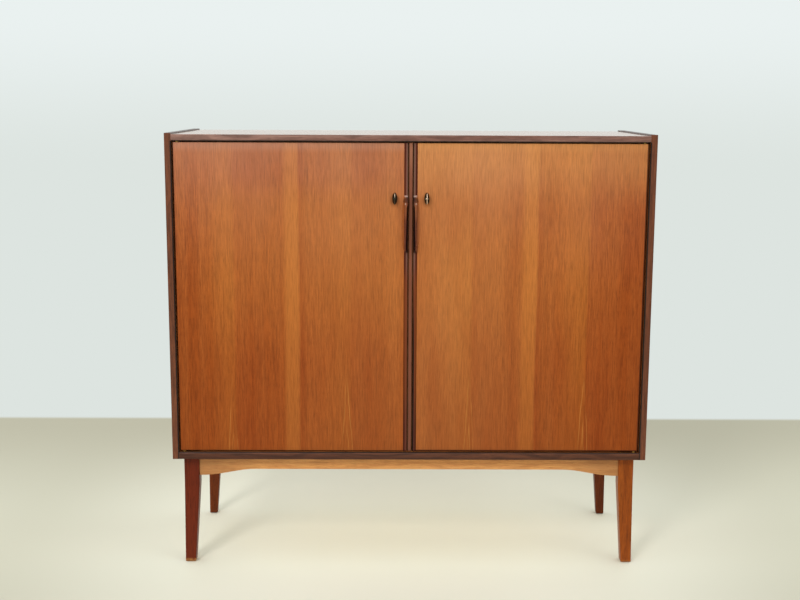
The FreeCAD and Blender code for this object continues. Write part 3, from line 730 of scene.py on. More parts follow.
class Piece:
    """A visual piece in the making, shaped by bmesh operators in the row's frame."""

    def __init__(self, name: str) -> None:
        """Starts an empty mesh."""
        self.name = name
        self.bm = bmesh.new()

    def block(self, low: Vector, high: Vector) -> None:
        """Adds a box between two corners."""
        matrix = Matrix.Translation((low + high) / 2) @ Matrix.Diagonal((*(high - low), 1.0))
        bmesh.ops.create_cube(self.bm, size=1.0, matrix=matrix)

    def lathe(self, profile: Sequence[Span], foot: Vector, axis: Vector, segments: int) -> None:
        """Adds a turned form from pairs of radius and distance along an axis."""
        matrix = Matrix.Translation(foot) @ axis.to_track_quat("Z", "Y").to_matrix().to_4x4()
        verts = [self.bm.verts.new(matrix @ Vector((radius, 0.0, rise))) for radius, rise in profile]
        edges = [self.bm.edges.new(pair) for pair in zip(verts, verts[1:])]
        bmesh.ops.spin(self.bm, geom=verts + edges, cent=foot, axis=axis.normalized(), angle=math.tau,
                       steps=segments, use_merge=True)
        bmesh.ops.remove_doubles(self.bm, verts=self.bm.verts, dist=0.005 * MM)

    def face(self, outline: Iterable[Vector]) -> bmesh.types.BMFace:
        """Flat face inside an outline."""
        return self.bm.faces.new([self.bm.verts.new(point) for point in outline])

    def extrude(self, faces: Iterable[bmesh.types.BMFace], move: Vector) -> list:
        """Extrudes faces along a vector and gives what was made, with the moved vertices first."""
        made = bmesh.ops.extrude_face_region(self.bm, geom=list(faces))["geom"]
        verts = [item for item in made if isinstance(item, bmesh.types.BMVert)]
        bmesh.ops.translate(self.bm, verts=verts, vec=move)
        return verts + [item for item in made if isinstance(item, bmesh.types.BMFace)]

    def push(self, face: bmesh.types.BMFace, move: Vector) -> bmesh.types.BMFace:
        """Extrudes a face along a vector and gives the new face."""
        return self.extrude([face], move)[-1]

    def cut(self, place: Sequence[float], normal: Sequence[float]) -> None:
        """Adds the edges in which a plane meets the piece."""
        geometry = [*self.bm.verts, *self.bm.edges, *self.bm.faces]
        bmesh.ops.bisect_plane(self.bm, geom=geometry, plane_co=place, plane_no=normal)

    def bevel(self, pick: Callable[[bmesh.types.BMEdge], bool], offset: float, segments: int = 3) -> None:
        """Rounds the edges that pick() chooses."""
        edges = [edge for edge in self.bm.edges if pick(edge)]
        bmesh.ops.bevel(self.bm, geom=edges, offset=offset, offset_type="OFFSET", segments=segments,
                        profile=0.5, affect="EDGES", clamp_overlap=True, material=-1)

    def mirror(self, side: Side) -> None:
        """Moves a piece that was built on the left to its own side."""
        if side is Side.RIGHT:
            bmesh.ops.scale(self.bm, vec=(-1.0, 1.0, 1.0), verts=self.bm.verts)

    def finish(self, body: str, slot: str, finish: Finish, nodes: Sequence[str] = (),
               smooth: float = 35.0) -> None:
        """Turns the mesh into an object of the cabinet.

        Args:
            body: CAD body that the piece moves with.
            slot: not used.
            finish: what it is made of.
            nodes: CAD nodes that it stands for.
            smooth: largest angle, in degrees, that is shaded as round.
        """
        bmesh.ops.remove_doubles(self.bm, verts=self.bm.verts, dist=0.002 * MM)
        bmesh.ops.recalc_face_normals(self.bm, faces=self.bm.faces)
        for face in self.bm.faces:
            face.smooth = True
        mesh = bpy.data.meshes.new(self.name)
        self.bm.to_mesh(mesh)
        self.bm.free()
        mesh.set_sharp_from_angle(angle=math.radians(smooth))
        mesh.materials.append(finish.material())
        thing = bpy.data.objects.new(self.name, mesh)
        bpy.context.scene.collection.objects.link(thing)
        thing.modifiers.new("even shading", "WEIGHTED_NORMAL").keep_sharp = True
        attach(thing, body)
        if nodes:
            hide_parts(*nodes)
        LOG.info("built %s with %d faces on %s", self.name, len(mesh.polygons), body)


def runs_along(edge: bmesh.types.BMEdge, axis: int) -> bool:
    """True where an edge runs mostly along one axis."""
    span = edge.verts[1].co - edge.verts[0].co
    return abs(span[axis]) > span.length * 0.9


TEAK = {"pale": "c57d45", "mid": "b0672f", "dark": "7c3f18"}
EDGE_STRIP = "4a2a1e"
TOP_VENEER = Wood("top veneer", "a87752", "986742", "72482c", grain=Grain.ALONG_X, rough=0.26,
                  shine=0.45, coat=0.5, seed=3.0)
BOTTOM_VENEER = Wood("bottom veneer", **TEAK, grain=Grain.ALONG_X, rough=0.5, seed=8.0, layers=(
    Stain("bare underside", "d9caa8", under(height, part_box("bottom_panel")[0].z + 0.4 * MM)),))
PARTITION_VENEER = Wood("partition veneer", **TEAK, rough=0.48, seed=12.0)
BACK_BOARD = Wood("back board", "c28c5a", "b07848", "8a5833", bands=0.5, streaks=0.3, pores=0.3,
                  rough=0.65, coat=0.0, seed=21.0)
SIDE_VENEERS = {
    side: Wood(f"side veneer {side.word}", **TEAK, rough=0.4, seed=15.0 + side.value, layers=(
        Stain("upper strip", EDGE_STRIP, over(height, CAD_BOX[1].z - 3 * MM)),)) for side in Side}
SHELF_VENEER = Wood("shelf veneer", **TEAK, grain=Grain.ALONG_X, rough=0.46, seed=5.0, layers=(
    Stain("front strip", EDGE_STRIP, under(depth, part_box("shelf_left_1")[0].y + 0.8 * MM)),))
DOOR_LOOKS = {
    Side.LEFT: DoorLook(middle=-0.2868, figure_shift=-0.008, tone=0.2, sheen=0.17, mist="d8b6a4",
                        mist_share=0.05, honey_share=0.19, hem_width=1.3 * MM),
    Side.RIGHT: DoorLook(middle=0.289, figure_shift=-0.002, tone=0.3, sheen=0.38, mist="ecaa66",
                         mist_share=0.24, honey_share=0.12, hem_width=3.2 * MM)}
DOOR_VENEERS = {
    side: Wood(f"door veneer {side.word}", "b8662c", "a04d18", "692b08", bands=0.5, streaks=0.6,
               pores=0.6, rough=0.5, shine=0.12, coat=0.0, wear=0.3, seed=1.0 + 2.0 * side.value,
               layers=look.layers()) for side, look in DOOR_LOOKS.items()}
LIPPING_CHAMFER = 2.6 * MM
UPPER_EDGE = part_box("top_lipping")[0].z
LOWER_EDGE, SILL = (corner.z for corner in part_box("bottom_lipping"))
# Painted shade on the lippings' inner chamfers next to the doors' gaps.
CHAMFER = ("shaded chamfer", "130603")
DARK = {"bands": 0.5, "pores": 0.6, "rough": 0.4}
# The lippings' wide, strong edge wear is partly wear and partly painted highlight on their arrises.
UPRIGHT_LIPPING = Wood(
    "upright lipping", "82492d", "63331b", "34160b", **DARK, streaks=0.6, rings=0.15, wear=0.6,
    wear_radius=2.0 * MM, seed=31.0, layers=(
        Stain(*CHAMFER, 0.93 * under(aside, LIPPING_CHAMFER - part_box("side_left")[1].x)
              & under(height, UPPER_EDGE)),))
TOP_LIPPING = Wood(
    "top lipping", "b28c80", "805649", "4a2c23", **DARK, grain=Grain.ALONG_X, rings=0.35, wear=0.9,
    wear_radius=2.5 * MM, seed=34.0,
    layers=(Stain(*CHAMFER, 0.93 * under(height, UPPER_EDGE + LIPPING_CHAMFER)),))
BOTTOM_LIPPING = Wood(
    "bottom lipping", "804c2e", "5c301d", "31140a", **DARK, grain=Grain.ALONG_X, rings=0.5, wear=0.6,
    wear_radius=2.2 * MM, seed=36.0, layers=(
        # painted shade: the bottom lipping darkens towards its lower edge
        Stain("painted shade at low edge", "2e0f04", 0.5 * ramp(height, LOWER_EDGE + 13 * MM, LOWER_EDGE + 3 * MM)),
        Stain(*CHAMFER, 0.93 * over(height, SILL - 1.2 * MM))))
AMBER = Stain("amber middle", "914616", 0.45 * band(height, 0.34, 0.48, 0.70, 0.77))
# Painted shadow on the right strip's inner edge, widening the dark gap towards the foot.
GAP_SHADOWS = {Side.LEFT: (), Side.RIGHT: (
    Stain("painted gap shadow", "140402", 0.9 * under(aside, 0.0102) & ramp(height, 0.78, 0.55)),)}
# Painted highlight on the closing strips' inner part, turning to a paler painted reflection higher up.
STRIP_WOODS = {
    side: Wood(f"closing strip wood {side.word}", "7a351d", "4c180b", "2c0a04", bands=0.5, shine=0.15,
               coat=0.0, wear=0.4, wear_radius=1.6 * MM, seed=43.0, layers=(
                   rubbed_crown("7c4230", 0.75, "7e584a", 0.70, 0.80), AMBER, deeper_foot(0.35), *gap))
    for side, gap in GAP_SHADOWS.items()}
# Painted light on the bead's top.
BEAD_WOOD = Wood("bead wood", "9b6048", "7c452e", "472316", bands=0.5, rough=0.4, shine=0.25, coat=0.0,
                 wear=0.3, seed=41.0,
                 layers=(rubbed_crown("7c452e", 0.5, "aa7053", 0.96, 1.04), deeper_foot(0.3)))
# painted light: the right pull's paler mid and flank stand for its lit side, the left pull's darker ones
# for shade
HANDLE_WOODS = {
    side: Wood(f"pull wood {side.word}", "8a4a32", mid, "250b06", bands=0.5, streaks=0.6, rough=0.28,
               shine=0.25, wear=0.5, seed=seed,
               layers=pull_layers(flank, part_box(f"{side.door}_handle")[0].y))
    for side, mid, flank, seed in ((Side.LEFT, "5a2414", "a35c2e", 47.0),
                                   (Side.RIGHT, "5e2c1a", "a5633c", 49.0))}
LEG = {"shine": 0.15, "coat": 0.0}
# The front legs differ in tone partly as wood does and partly as painted light: the left is darker with
# painted shade, the right paler with painted light.
LEG_WOODS = {
    Side.LEFT: Wood("front leg wood left", "7c3012", "66220c", "3c1004", **LEG, bands=0.25, rings=0.1,
                    rough=0.36, wear=0.4, seed=54.0, layers=bare_foot(0.65, 11.5 * MM)),
    Side.RIGHT: Wood("front leg wood right", "b05e20", "8f430f", "602806", **LEG, bands=0.5,
                     streaks=0.45, rings=0.15, rough=0.36, wear=0.5, seed=57.0,
                     layers=bare_foot(0.3, 8.5 * MM))}
REAR_LEG_WOOD = Wood("rear leg wood", "8a4016", "632a0b", "3c1504", **LEG, bands=0.4, rough=0.4,
                     wear=0.4, seed=61.0)
APRON_WOOD = Wood(
    "apron wood", "e4aa6c", "d89554", "b06e38", grain=Grain.ALONG_X, bands=0.5, streaks=0.4, rings=0.25,
    pores=0.4, rough=0.45, wear=0.3, seed=66.0, layers=(
        # painted shade: the apron darkens at its ends beside the legs, and painted shadow under the
        # case's overhang at its top
        Stain("painted shade at ends", "8a5630", 0.55 * ramp(aside, 0.33, 0.53)),
        Stain("painted shadow under the case", "44260f", 0.7 * ramp(height, 0.2645, 0.2725))))
RAIL_WOOD = Wood("rail wood", "c98c4e", "b2743e", "865128", grain=Grain.ALONG_Y, rings=0.3, rough=0.5,
                 seed=71.0)
BLOCK_WOOD = Wood("block wood", "d2aa78", "bf9060", "9b6c40", grain=Grain.ALONG_X, bands=0.5, streaks=0.3,
                  rings=0.3, pores=0.1, rough=0.7, coat=0.0, seed=76.0)
DOWEL_WOOD = Wood("dowel wood", "d9b98c", "c9a473", "a67f50", grain=Grain.ALONG_X, streaks=0.2, pores=0.1,
                  rough=0.6, coat=0.0, seed=79.0)
# painted shade on the lower half of the left key's bow; the right key has none
KEY_BRASSES = {
    side: Metal(f"key brass {side.word}", "fff3dc", "c0a673", amount=0.25, rough=0.3, layers=painted_key_shade)
    for side, painted_key_shade in ((Side.LEFT, (Stain("painted shade on lower half", "454c44", ramp(height, 0.935, 0.925)),)),
                       (Side.RIGHT, ()))}
DARK_BRASS = Metal("plate brass", "3a2a1d", "1c120b", amount=0.7, rough=0.5)
PIN_BRASS = Metal("pin brass", "b8954e", "6a4c20", rough=0.3)
STEEL = Metal("plated steel", "aaa8a2", "6d6a63", rough=0.32, layers=(
    Stain("scuffed glides", "4a4838", ramp(height, 4 * MM, -6 * MM)),))
SCREW_STEEL = Metal("screw steel", "dcdad4", "8d8a82", amount=0.3)


LEAF_SCREW_INSETS = (22 * MM, 38 * MM)
SMALL_HEAD = {"radius": 2.4 * MM, "dome": 0.35 * MM, "segments": 16}


@dataclass
class ScrewSet:
    """Slotted screw heads that sit in a row of places and share one piece."""

    name: str
    body: str
    slot: str
    finish: Metal
    radius: float = 2.9 * MM
    dome: float = 0.5 * MM
    sunk: float = 0.6 * MM
    slot_half: float = 0.32 * MM
    slot_depth: float = 0.45 * MM
    foot_share: float = 0.8
    least_rise: float = 0.2
    arc_steps: int = 4
    segments: int = 20
    turn_each: float = 37.0

    def head(self, piece: Piece, place: Vector, out: Vector, turn: float) -> None:
        """One domed head with its slot.

        Args:
            piece: piece that the head joins.
            place: middle of the head on the surface.
            out: direction away from the surface.
            turn: angle of the slot, in degrees.
        """
        quarter = [math.pi / 2 * step / self.arc_steps for step in range(self.arc_steps)]
        arc = [(self.radius * math.cos(rise), self.dome * math.sin(rise)) for rise in quarter]
        foot = [(0.0, -self.sunk), (self.radius * self.foot_share, -self.sunk)]
        head = Piece(self.name)
        head.lathe(foot + arc + [(0.0, self.dome)], Vector(), UP, self.segments)
        for offset in (-self.slot_half, self.slot_half):
            head.cut((offset, 0, 0), (1, 0, 0))
        floor = [face for face in head.bm.faces if face.normal.z > self.least_rise
                 and abs(face.calc_center_median().x) < self.slot_half
                 and face.calc_center_median().z > 0.0]
        head.extrude(floor, Vector((0, 0, -self.slot_depth)))
        bmesh.ops.delete(head.bm, geom=floor, context="FACES")
        spin = Matrix.Rotation(math.radians(turn), 4, "Z")
        lay = Matrix.Translation(place) @ out.to_track_quat("Z", "Y").to_matrix().to_4x4() @ spin
        bmesh.ops.transform(head.bm, matrix=lay, verts=head.bm.verts)
        carrier = bpy.data.meshes.new("head")
        head.bm.to_mesh(carrier)
        head.bm.free()
        piece.bm.from_mesh(carrier)
        bpy.data.meshes.remove(carrier)

    def build(self, places: Iterable[tuple[Vector, Vector]]) -> None:
        """Builds a head at each place, with the direction away from the surface there."""
        piece = Piece(self.name)
        for number, (place, out) in enumerate(places):
            self.head(piece, place, out, self.turn_each * number)
        piece.finish(self.body, self.slot, self.finish)


def spots(xs: Iterable[float], ys: Iterable[float], zs: Iterable[float],
          out: Vector) -> list[tuple[Vector, Vector]]:
    """Every place that one of each coordinate gives, with the direction away from the surface."""
    return [(Vector(spot), out) for spot in itertools.product(xs, ys, zs)]


def leaf_screws(name: str, node: str, body: str, sides: Iterable[Side], out: Vector,
                thick: float = 0.0) -> None:
    """Builds two screws in the lower and the upper hinge leaf of each side.

    Args:
        name: name of the piece.
        node: CAD node of the leaves.
        body: CAD body that they move with.
        sides: sides on which the leaves lie.
        out: direction that the lower leaf's screws face.
        thick: distance from the end of the leaves' box to the screws.
    """
    low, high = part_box(node)
    outer, middle = max(-low.x, high.x), (low.y + high.y) / 2
    xs = [side.value * (outer - inset) for side in sides for inset in LEAF_SCREW_INSETS]
    places = spots(xs, (middle,), (low.z + thick,), out) + spots(xs, (middle,), (high.z - thick,), -out)
    ScrewSet(name, body, "brass", PIN_BRASS, **SMALL_HEAD).build(places)


def upright_strip(name: str, node: str, body: str, radius: float, finish: Finish) -> None:
    """Builds an upright strip with rounded front edges in place of a CAD node.

    Args:
        name: name of the piece.
        node: CAD node that it stands for.
        body: CAD body that it moves with.
        radius: radius of the edges.
        finish: what it is made of.
    """
    low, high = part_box(node)
    piece = Piece(name)
    piece.block(low, high)
    piece.bevel(lambda e: runs_along(e, 2) and e.verts[0].co.y < low.y + radius, radius, 5)
    piece.finish(body, "dark_wood", finish, [node])


@dataclass
class Case:
    """Veneered case with its dark front edges, back and inner partition."""

    screw_inset: float = 4 * MM
    screw_shares: tuple[float, ...] = (0.04, 0.27, 0.73, 0.96)
    row_shares: Span = (0.25, 0.75)
    bead_round: float = 0.9 * MM
    leaf_thick: float = 2 * MM
    strike_screw_rise: float = 15 * MM

    def build(self) -> None:
        """Builds and dresses the case."""
        for finish, *names in (
                (TOP_VENEER, "top_panel"), (BOTTOM_VENEER, "bottom_panel"),
                (PARTITION_VENEER, "centre_partition"), (BACK_BOARD, "back_panel"),
                (TOP_LIPPING, "top_lipping"), (BOTTOM_LIPPING, "bottom_lipping"),
                (UPRIGHT_LIPPING, "side_lipping_left", "side_lipping_right"),
                (DOWEL_WOOD, "case_dowels"), (PIN_BRASS, "hinge_case_leaves"), (STEEL, "strike_plates")):
            dress(finish, *names)
        for side in Side:
            dress(SIDE_VENEERS[side], f"side_{side.word}")
        upright_strip("centre_bead_moulding", "centre_bead", "case", self.bead_round, BEAD_WOOD)
        self.back_screws()
        leaf_screws("case_hinge_screws", "hinge_case_leaves", "case", Side, UP, self.leaf_thick)
        self.strike_screws()

    def back_screws(self) -> None:
        """Screws round the back panel and up its middle."""
        low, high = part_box("back_panel")
        xs = [low.x + (high.x - low.x) * share for share in self.screw_shares]
        places = spots(xs, (high.y,), (low.z + self.screw_inset, high.z - self.screw_inset), BACK)
        for share in self.row_shares:
            places += spots((low.x + self.screw_inset, 0.0, high.x - self.screw_inset), (high.y,),
                            (low.z + (high.z - low.z) * share,), BACK)
        ScrewSet("back_screws", "case", "steel", SCREW_STEEL).build(places)

    def strike_screws(self) -> None:
        """Screws above and below the slot of each strike plate."""
        low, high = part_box("strike_plates")
        middle = (low + high) / 2
        places = [(Vector((side.value * high.x, middle.y, middle.z + rise)), Vector((side.value, 0, 0)))
                  for side in Side for rise in (-self.strike_screw_rise, self.strike_screw_rise)]
        ScrewSet("strike_screws", "case", "steel", SCREW_STEEL, **SMALL_HEAD).build(places)


@dataclass
class Shelves:
    """Four shelves on turned pins."""

    pin_radius: float = 2.5 * MM
    collar_radius: float = 3.3 * MM
    collar_length: float = 0.8 * MM
    front_inset: float = 40 * MM
    back_inset: float = 48 * MM
    tip_round: float = 0.5 * MM
    depth_in_wood: float = 8 * MM
    reach: float = 9 * MM

    def build(self) -> None:
        """Dresses the shelves and builds their pins."""
        names = [f"shelf_{side.word}_{n}" for side in Side for n in (1, 2)]
        dress(SHELF_VENEER, *names)
        self.pins(names)

    def pins(self, names: Sequence[str]) -> None:
        """Pins at both ends of every shelf, near its front and its back."""
        piece = Piece("turned_shelf_pins")
        for name in names:
            low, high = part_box(name)
            for y in (low.y + self.front_inset, high.y - self.back_inset):
                for x, toward in self._ends(math.copysign(1.0, low.x + high.x)):
                    piece.lathe(self._profile(), Vector((x, y, low.z - self.pin_radius)),
                                Vector((toward, 0, 0)), 12)
        piece.finish("case", "brass", PIN_BRASS, ["shelf_pins"], TURNED_SMOOTH)

    def _ends(self, sign: float) -> tuple[Span, Span]:
        """Place of the hidden end and direction of the two pins of a row, on one side."""
        side_face = abs(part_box("side_left")[1].x)
        middle_face = abs(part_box("centre_partition")[0].x)
        return ((sign * (side_face + self.depth_in_wood), -sign),
                (sign * (middle_face - self.depth_in_wood), sign))

    def _profile(self) -> list[Span]:
        """Outline of a pin from its hidden end to its tip, with a thin collar at the face of the wood."""
        radius, start, tip = self.pin_radius, self.depth_in_wood, self.depth_in_wood + self.reach
        collar = start + self.collar_length
        return [(0.0, 0.0), (radius, 0.0), (radius, start), (self.collar_radius, start),
                (self.collar_radius, collar), (radius, collar), (radius, tip - self.tip_round),
                (radius - self.tip_round, tip), (0.0, tip)]


@dataclass(frozen=True)
class Leg:
    """Leg block that tapers below to a small rounded foot."""

    name: str
    top: Span
    foot: Span
    inward_y: int
    block: float = 73 * MM
    splay: float = 2.5 * MM
    round: float = 2.2 * MM
    foot_round: float = 2.0 * MM
    glide: float = 1.2 * MM

    def build(self, side: Side, finish: Wood) -> None:
        """Builds the leg in place of its CAD node."""
        node = f"{self.name}_{side.word}"
        low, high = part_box(f"{self.name}_left")
        outer_x = low.x + self.splay
        outer_y = low.y if self.inward_y > 0 else high.y
        piece = Piece(node + "_tapered")
        far = Vector((outer_x + self.top[0], outer_y + self.inward_y * self.top[1], 0))
        piece.block(Vector((outer_x, min(outer_y, far.y), self.glide)),
                    Vector((far.x, max(outer_y, far.y), high.z)))
        piece.cut((0, 0, high.z - self.block), UP)
        for vert in piece.bm.verts:
            if vert.co.z < self.glide + HAIR:
                inner_x, inner_y = abs(vert.co.x - far.x) < HAIR, abs(vert.co.y - far.y) < HAIR
                vert.co.x = outer_x - self.splay + (self.foot[0] if inner_x else 0.0)
                vert.co.y = outer_y + self.inward_y * (self.foot[1] if inner_y else 0.0)
        piece.bevel(lambda e: runs_along(e, 2), self.round, 5)
        piece.bevel(lambda e: all(v.co.z < self.glide + HAIR for v in e.verts), self.foot_round, 3)
        piece.mirror(side)
        piece.finish("case", "leg_wood", finish, [node], TURNED_SMOOTH)

    def foot_middle(self) -> Vector:
        """Middle of the left leg's foot on the floor."""
        low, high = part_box(f"{self.name}_left")
        outer_y = low.y if self.inward_y > 0 else high.y
        return Vector((low.x + self.foot[0] / 2, outer_y + self.inward_y * self.foot[1] / 2, 0.0))


@dataclass
class LegFrame:
    """Four legs on turned glides, shaped front apron, plain rails and corner blocks."""

    front: Leg = Leg("front_leg", (37.5 * MM, 34 * MM), (26 * MM, 28 * MM), 1)
    rear: Leg = Leg("rear_leg", (35 * MM, 30 * MM), (21 * MM, 20 * MM), -1)
    glide_radius: float = 6 * MM
    glide_round: float = 0.7 * MM
    glide_stem: float = 1.5 * MM
    glide_bend: Span = (0.7, 0.3)
    block_screw_near: float = 10 * MM
    block_screw_far: float = 44 * MM

    def build(self) -> None:
        """Builds the legs and their glides, and dresses the rails."""
        for side in Side:
            self.front.build(side, LEG_WOODS[side])
            self.rear.build(side, REAR_LEG_WOOD)
        dress(APRON_WOOD, "front_apron", "rear_apron")
        dress(RAIL_WOOD, "side_rail_left", "side_rail_right")
        dress(BLOCK_WOOD, "corner_blocks")
        self.glides()
        self.block_screws()

    def glides(self) -> None:
        """Domed glide under each foot."""
        piece = Piece("domed_glides")
        rim = self.glide_radius - self.glide_round
        out, up = (share * self.glide_round for share in self.glide_bend)
        stem_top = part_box("foot_glides")[1].z
        profile = [(0.0, 0.0), (rim, 0.0), (rim + out, up),
                   (self.glide_radius, self.glide_round), (self.glide_radius, self.front.glide),
                   (self.glide_stem, self.front.glide), (self.glide_stem, stem_top), (0.0, stem_top)]
        for leg in (self.front, self.rear):
            foot = leg.foot_middle()
            for side in Side:
                piece.lathe(profile, Vector((foot.x * -side.value, foot.y, 0.0)), UP, 28)
        piece.finish("case", "steel", STEEL, ["foot_glides"], TURNED_SMOOTH)

    def block_screws(self) -> None:
        """Two screws in the underside of each corner block."""
        low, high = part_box("corner_blocks")
        pair = (self.block_screw_far, self.block_screw_near)
        places = [(Vector((side.value * (high.x - inward), rail + toward * along, low.z)), -UP)
                  for side in Side for rail, toward in ((low.y, 1), (high.y, -1))
                  for inward, along in (pair, pair[::-1])]
        ScrewSet("block_screws", "case", "steel", SCREW_STEEL).build(places)


@dataclass
class Handle:
    """Carved pull on the closing edge of a door."""

    scoop_radius: float = 7.1 * MM
    scoop_outset: float = 2.0 * MM
    scoop_forward: float = 8.0 * MM
    scoop_half: float = 57 * MM
    scoop_run_out: float = 8 * MM
    scoop_widening: float = 60 * MM
    scoop_taper: float = 0.28
    scoop_drop: float = 9.0 * MM
    shoulder: float = 5.0 * MM
    shoulder_set_back: float = 5.0 * MM
    end_forward: float = 10.0 * MM
    middle_forward: float = 13.0 * MM
    flare: float = 5.0 * MM
    ridge: float = 7.0 * MM
    corner: float = 1.2 * MM
    corner_bend: Span = (0.4, 0.1)
    flank_hollow: float = 1.6
    flank_fall: float = 0.9
    sections: int = 72
    side_points: int = 12
    flank_points: int = 9

    def build(self, side: Side) -> None:
        """Builds the pull of one door from level sections."""
        low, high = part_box("door_left_handle")
        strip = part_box("door_left_edge_strip")
        edge_x, width, face_y = high.x, strip[1].x - strip[0].x, high.y
        middle, half = (low.z + high.z) / 2, (high.z - low.z) / 2
        heights = [middle + half * math.sin(math.pi / 2 * (2 * n / self.sections - 1)) for n in
                   range(self.sections + 1)]
        piece = Piece(f"pull_{side.word}")
        outline = self._section(edge_x, face_y, width, heights[0] - middle, half)
        face = piece.face(Vector((x, y, heights[0])) for x, y in outline)
        verts = list(face.verts)
        for z in heights[1:]:
            top = piece.push(face, Vector((0, 0, z - verts[0].co.z)))
            outline = self._section(edge_x, face_y, width, z - middle, half)
            verts = self._matched(verts, list(top.verts))
            for vert, (x, y) in zip(verts, outline):
                vert.co = Vector((x, y, z))
            face = top
        bmesh.ops.remove_doubles(piece.bm, verts=piece.bm.verts, dist=20 * MICRON)
        bmesh.ops.dissolve_degenerate(piece.bm, edges=piece.bm.edges, dist=10 * MICRON)
        piece.mirror(side)
        piece.finish(side.door, "handle_wood", HANDLE_WOODS[side], [f"{side.door}_handle"],
                     CARVED_SMOOTH)

    @staticmethod
    def _matched(old: list, new: list) -> list:
        """New verts in the order of the old ones that they rose from."""
        return [min(new, key=lambda v: (v.co.xy - o.co.xy).length) for o in old]

    def _section(self, edge_x: float, face_y: float, width: float, rise: float,
                 half: float) -> list[Span]:
        """Outline of one level section.

        Args:
            edge_x: closing edge of the door.
            face_y: face of the door.
            width: width of the strip that the pull stands on.
            rise: height above the middle of the pull.
            half: half of the pull's height.

        Returns:
            Points from the closing edge round the front to the flank's foot.
        """
        along = min(1.0, abs(rise) / (half - self.shoulder))
        forward = self.end_forward + (self.middle_forward - self.end_forward) * (1 - along ** 2)
        into_end = max(0.0, abs(rise) - (half - self.shoulder)) / self.shoulder
        forward -= self.shoulder_set_back * into_end
        foot = width + self.flare * (1 - along ** 4)
        room = self.scoop_half - abs(rise + self.scoop_drop)
        share = min(1.0, max(0.0, room / self.scoop_run_out))
        below_end = min(1.0, max(0.0, (self.scoop_half - rise - self.scoop_drop) / self.scoop_widening))
        radius = self.scoop_radius * math.sqrt(1 - (1 - share) ** 2)
        radius *= 1 - self.scoop_taper * (1 - below_end) ** 2
        bend_u, bend_v = (self.corner * share for share in self.corner_bend)
        points = []
        for n in range(self.side_points + 1):
            v = (forward - bend_u) * n / self.side_points
            reach = radius ** 2 - (v - self.scoop_forward) ** 2
            u = max(0.0, math.sqrt(max(0.0, reach)) - self.scoop_outset)
            points.append((u, v))
        lip = points[-1][0]
        points[-1] = (lip + HAIR, points[-1][1])
        points += [(lip + bend_u, forward - bend_v), (lip + self.corner, forward)]
        points += [((lip + self.corner + self.ridge) / 2, forward), (self.ridge, forward - HAIR)]
        for n in range(1, self.flank_points + 1):
            t = n / self.flank_points
            u = self.ridge + (foot - self.ridge) * t ** self.flank_hollow
            v = (forward - HAIR) * (1 - t) ** self.flank_fall if n < self.flank_points else 0.0
            points.append((u, v))
        return [(edge_x - u, face_y - v) for u, v in points]


@dataclass
class Key:
    """Cabinet key with an oval bow, a turned collar and a warded bit."""

    bow_half_tall: float = 14 * MM
    bow_half_long: float = 9 * MM
    bow_rim: float = 3.4 * MM
    bow_thick: float = 2.2 * MM
    bit_half: float = 1.0 * MM
    bit_wide: float = 5.0 * MM
    bit_long: float = 6.0 * MM
    ward_wide: float = 1.2 * MM
    ward_deep: float = 1.5 * MM
    shank: float = 1.7 * MM
    collar: tuple[Span, ...] = ((0.0, -1.4), (1.5, -1.3), (2.2, -0.4), (2.2, 0.3), (1.6, 0.7), (2.8, 1.0),
                                (2.8, 2.0), (1.9, 2.3), (1.7, 2.6))

    def build(self, side: Side) -> None:
        """Builds the key in its lock, with its bow upright."""
        low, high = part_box("key_left")
        x, z = (low.x + high.x) / 2, (low.z + high.z) / 2
        piece = Piece(f"turned_key_{side.word}")
        bow_y = low.y + self.bow_half_long
        self._bow(piece, Vector((x, bow_y, z)))
        neck = low.y + 2 * self.bow_half_long
        profile = [(radius * MM, rise * MM) for radius, rise in self.collar]
        profile += [(self.shank, high.y - neck), (0.0, high.y - neck)]
        piece.lathe(profile, Vector((x, neck, z)), BACK, 28)
        self._bit(piece, x, z)
        piece.mirror(side)
        node = f"key_{side.word}"
        piece.finish(node, "brass", KEY_BRASSES[side], [node], TURNED_SMOOTH)

    def _bit(self, piece: Piece, x: float, z: float) -> None:
        """Flat bit that hangs from the shank, with a ward cut in its edge."""
        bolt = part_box("bolt_left")
        middle = (bolt[0].y + bolt[1].y) / 2
        wide, ward = self.bit_wide / 2, self.ward_wide / 2
        foot, step = z - self.bit_long, z - self.bit_long + self.ward_deep
        outline = [(-wide, z - self.bit_half), (wide, z - self.bit_half), (wide, foot), (ward, foot),
                   (ward, step), (-ward, step), (-ward, foot), (-wide, foot)]
        face = piece.face(Vector((x - self.bit_half, middle + y, rise)) for y, rise in outline)
        piece.push(face, Vector((2 * self.bit_half, 0, 0)))

    def _bow(self, piece: Piece, centre: Vector) -> None:
        """Oval ring in the plane of the shank, with a rounded rim."""
        half, rim = self.bow_thick / 2, self.bow_rim / 2
        steps, ring = 10, []
        for n in range(steps):
            angle = math.tau * n / steps
            ring.append(piece.bm.verts.new(centre + Vector((
                half * math.cos(angle), self.bow_half_long - rim + rim * math.sin(angle), 0))))
        edges = [piece.bm.edges.new((ring[n - 1], ring[n])) for n in range(steps)]
        bmesh.ops.spin(piece.bm, geom=ring + edges, cent=centre, axis=(1, 0, 0), angle=math.tau, steps=48,
                       use_merge=True)
        stretch = (self.bow_half_tall - rim) / (self.bow_half_long - rim)
        for vert in piece.bm.verts:
            off = vert.co.z - centre.z
            reach = math.hypot(vert.co.y - centre.y, off)
            if reach > 0:
                vert.co.z += off / reach * (self.bow_half_long - rim) * (stretch - 1)


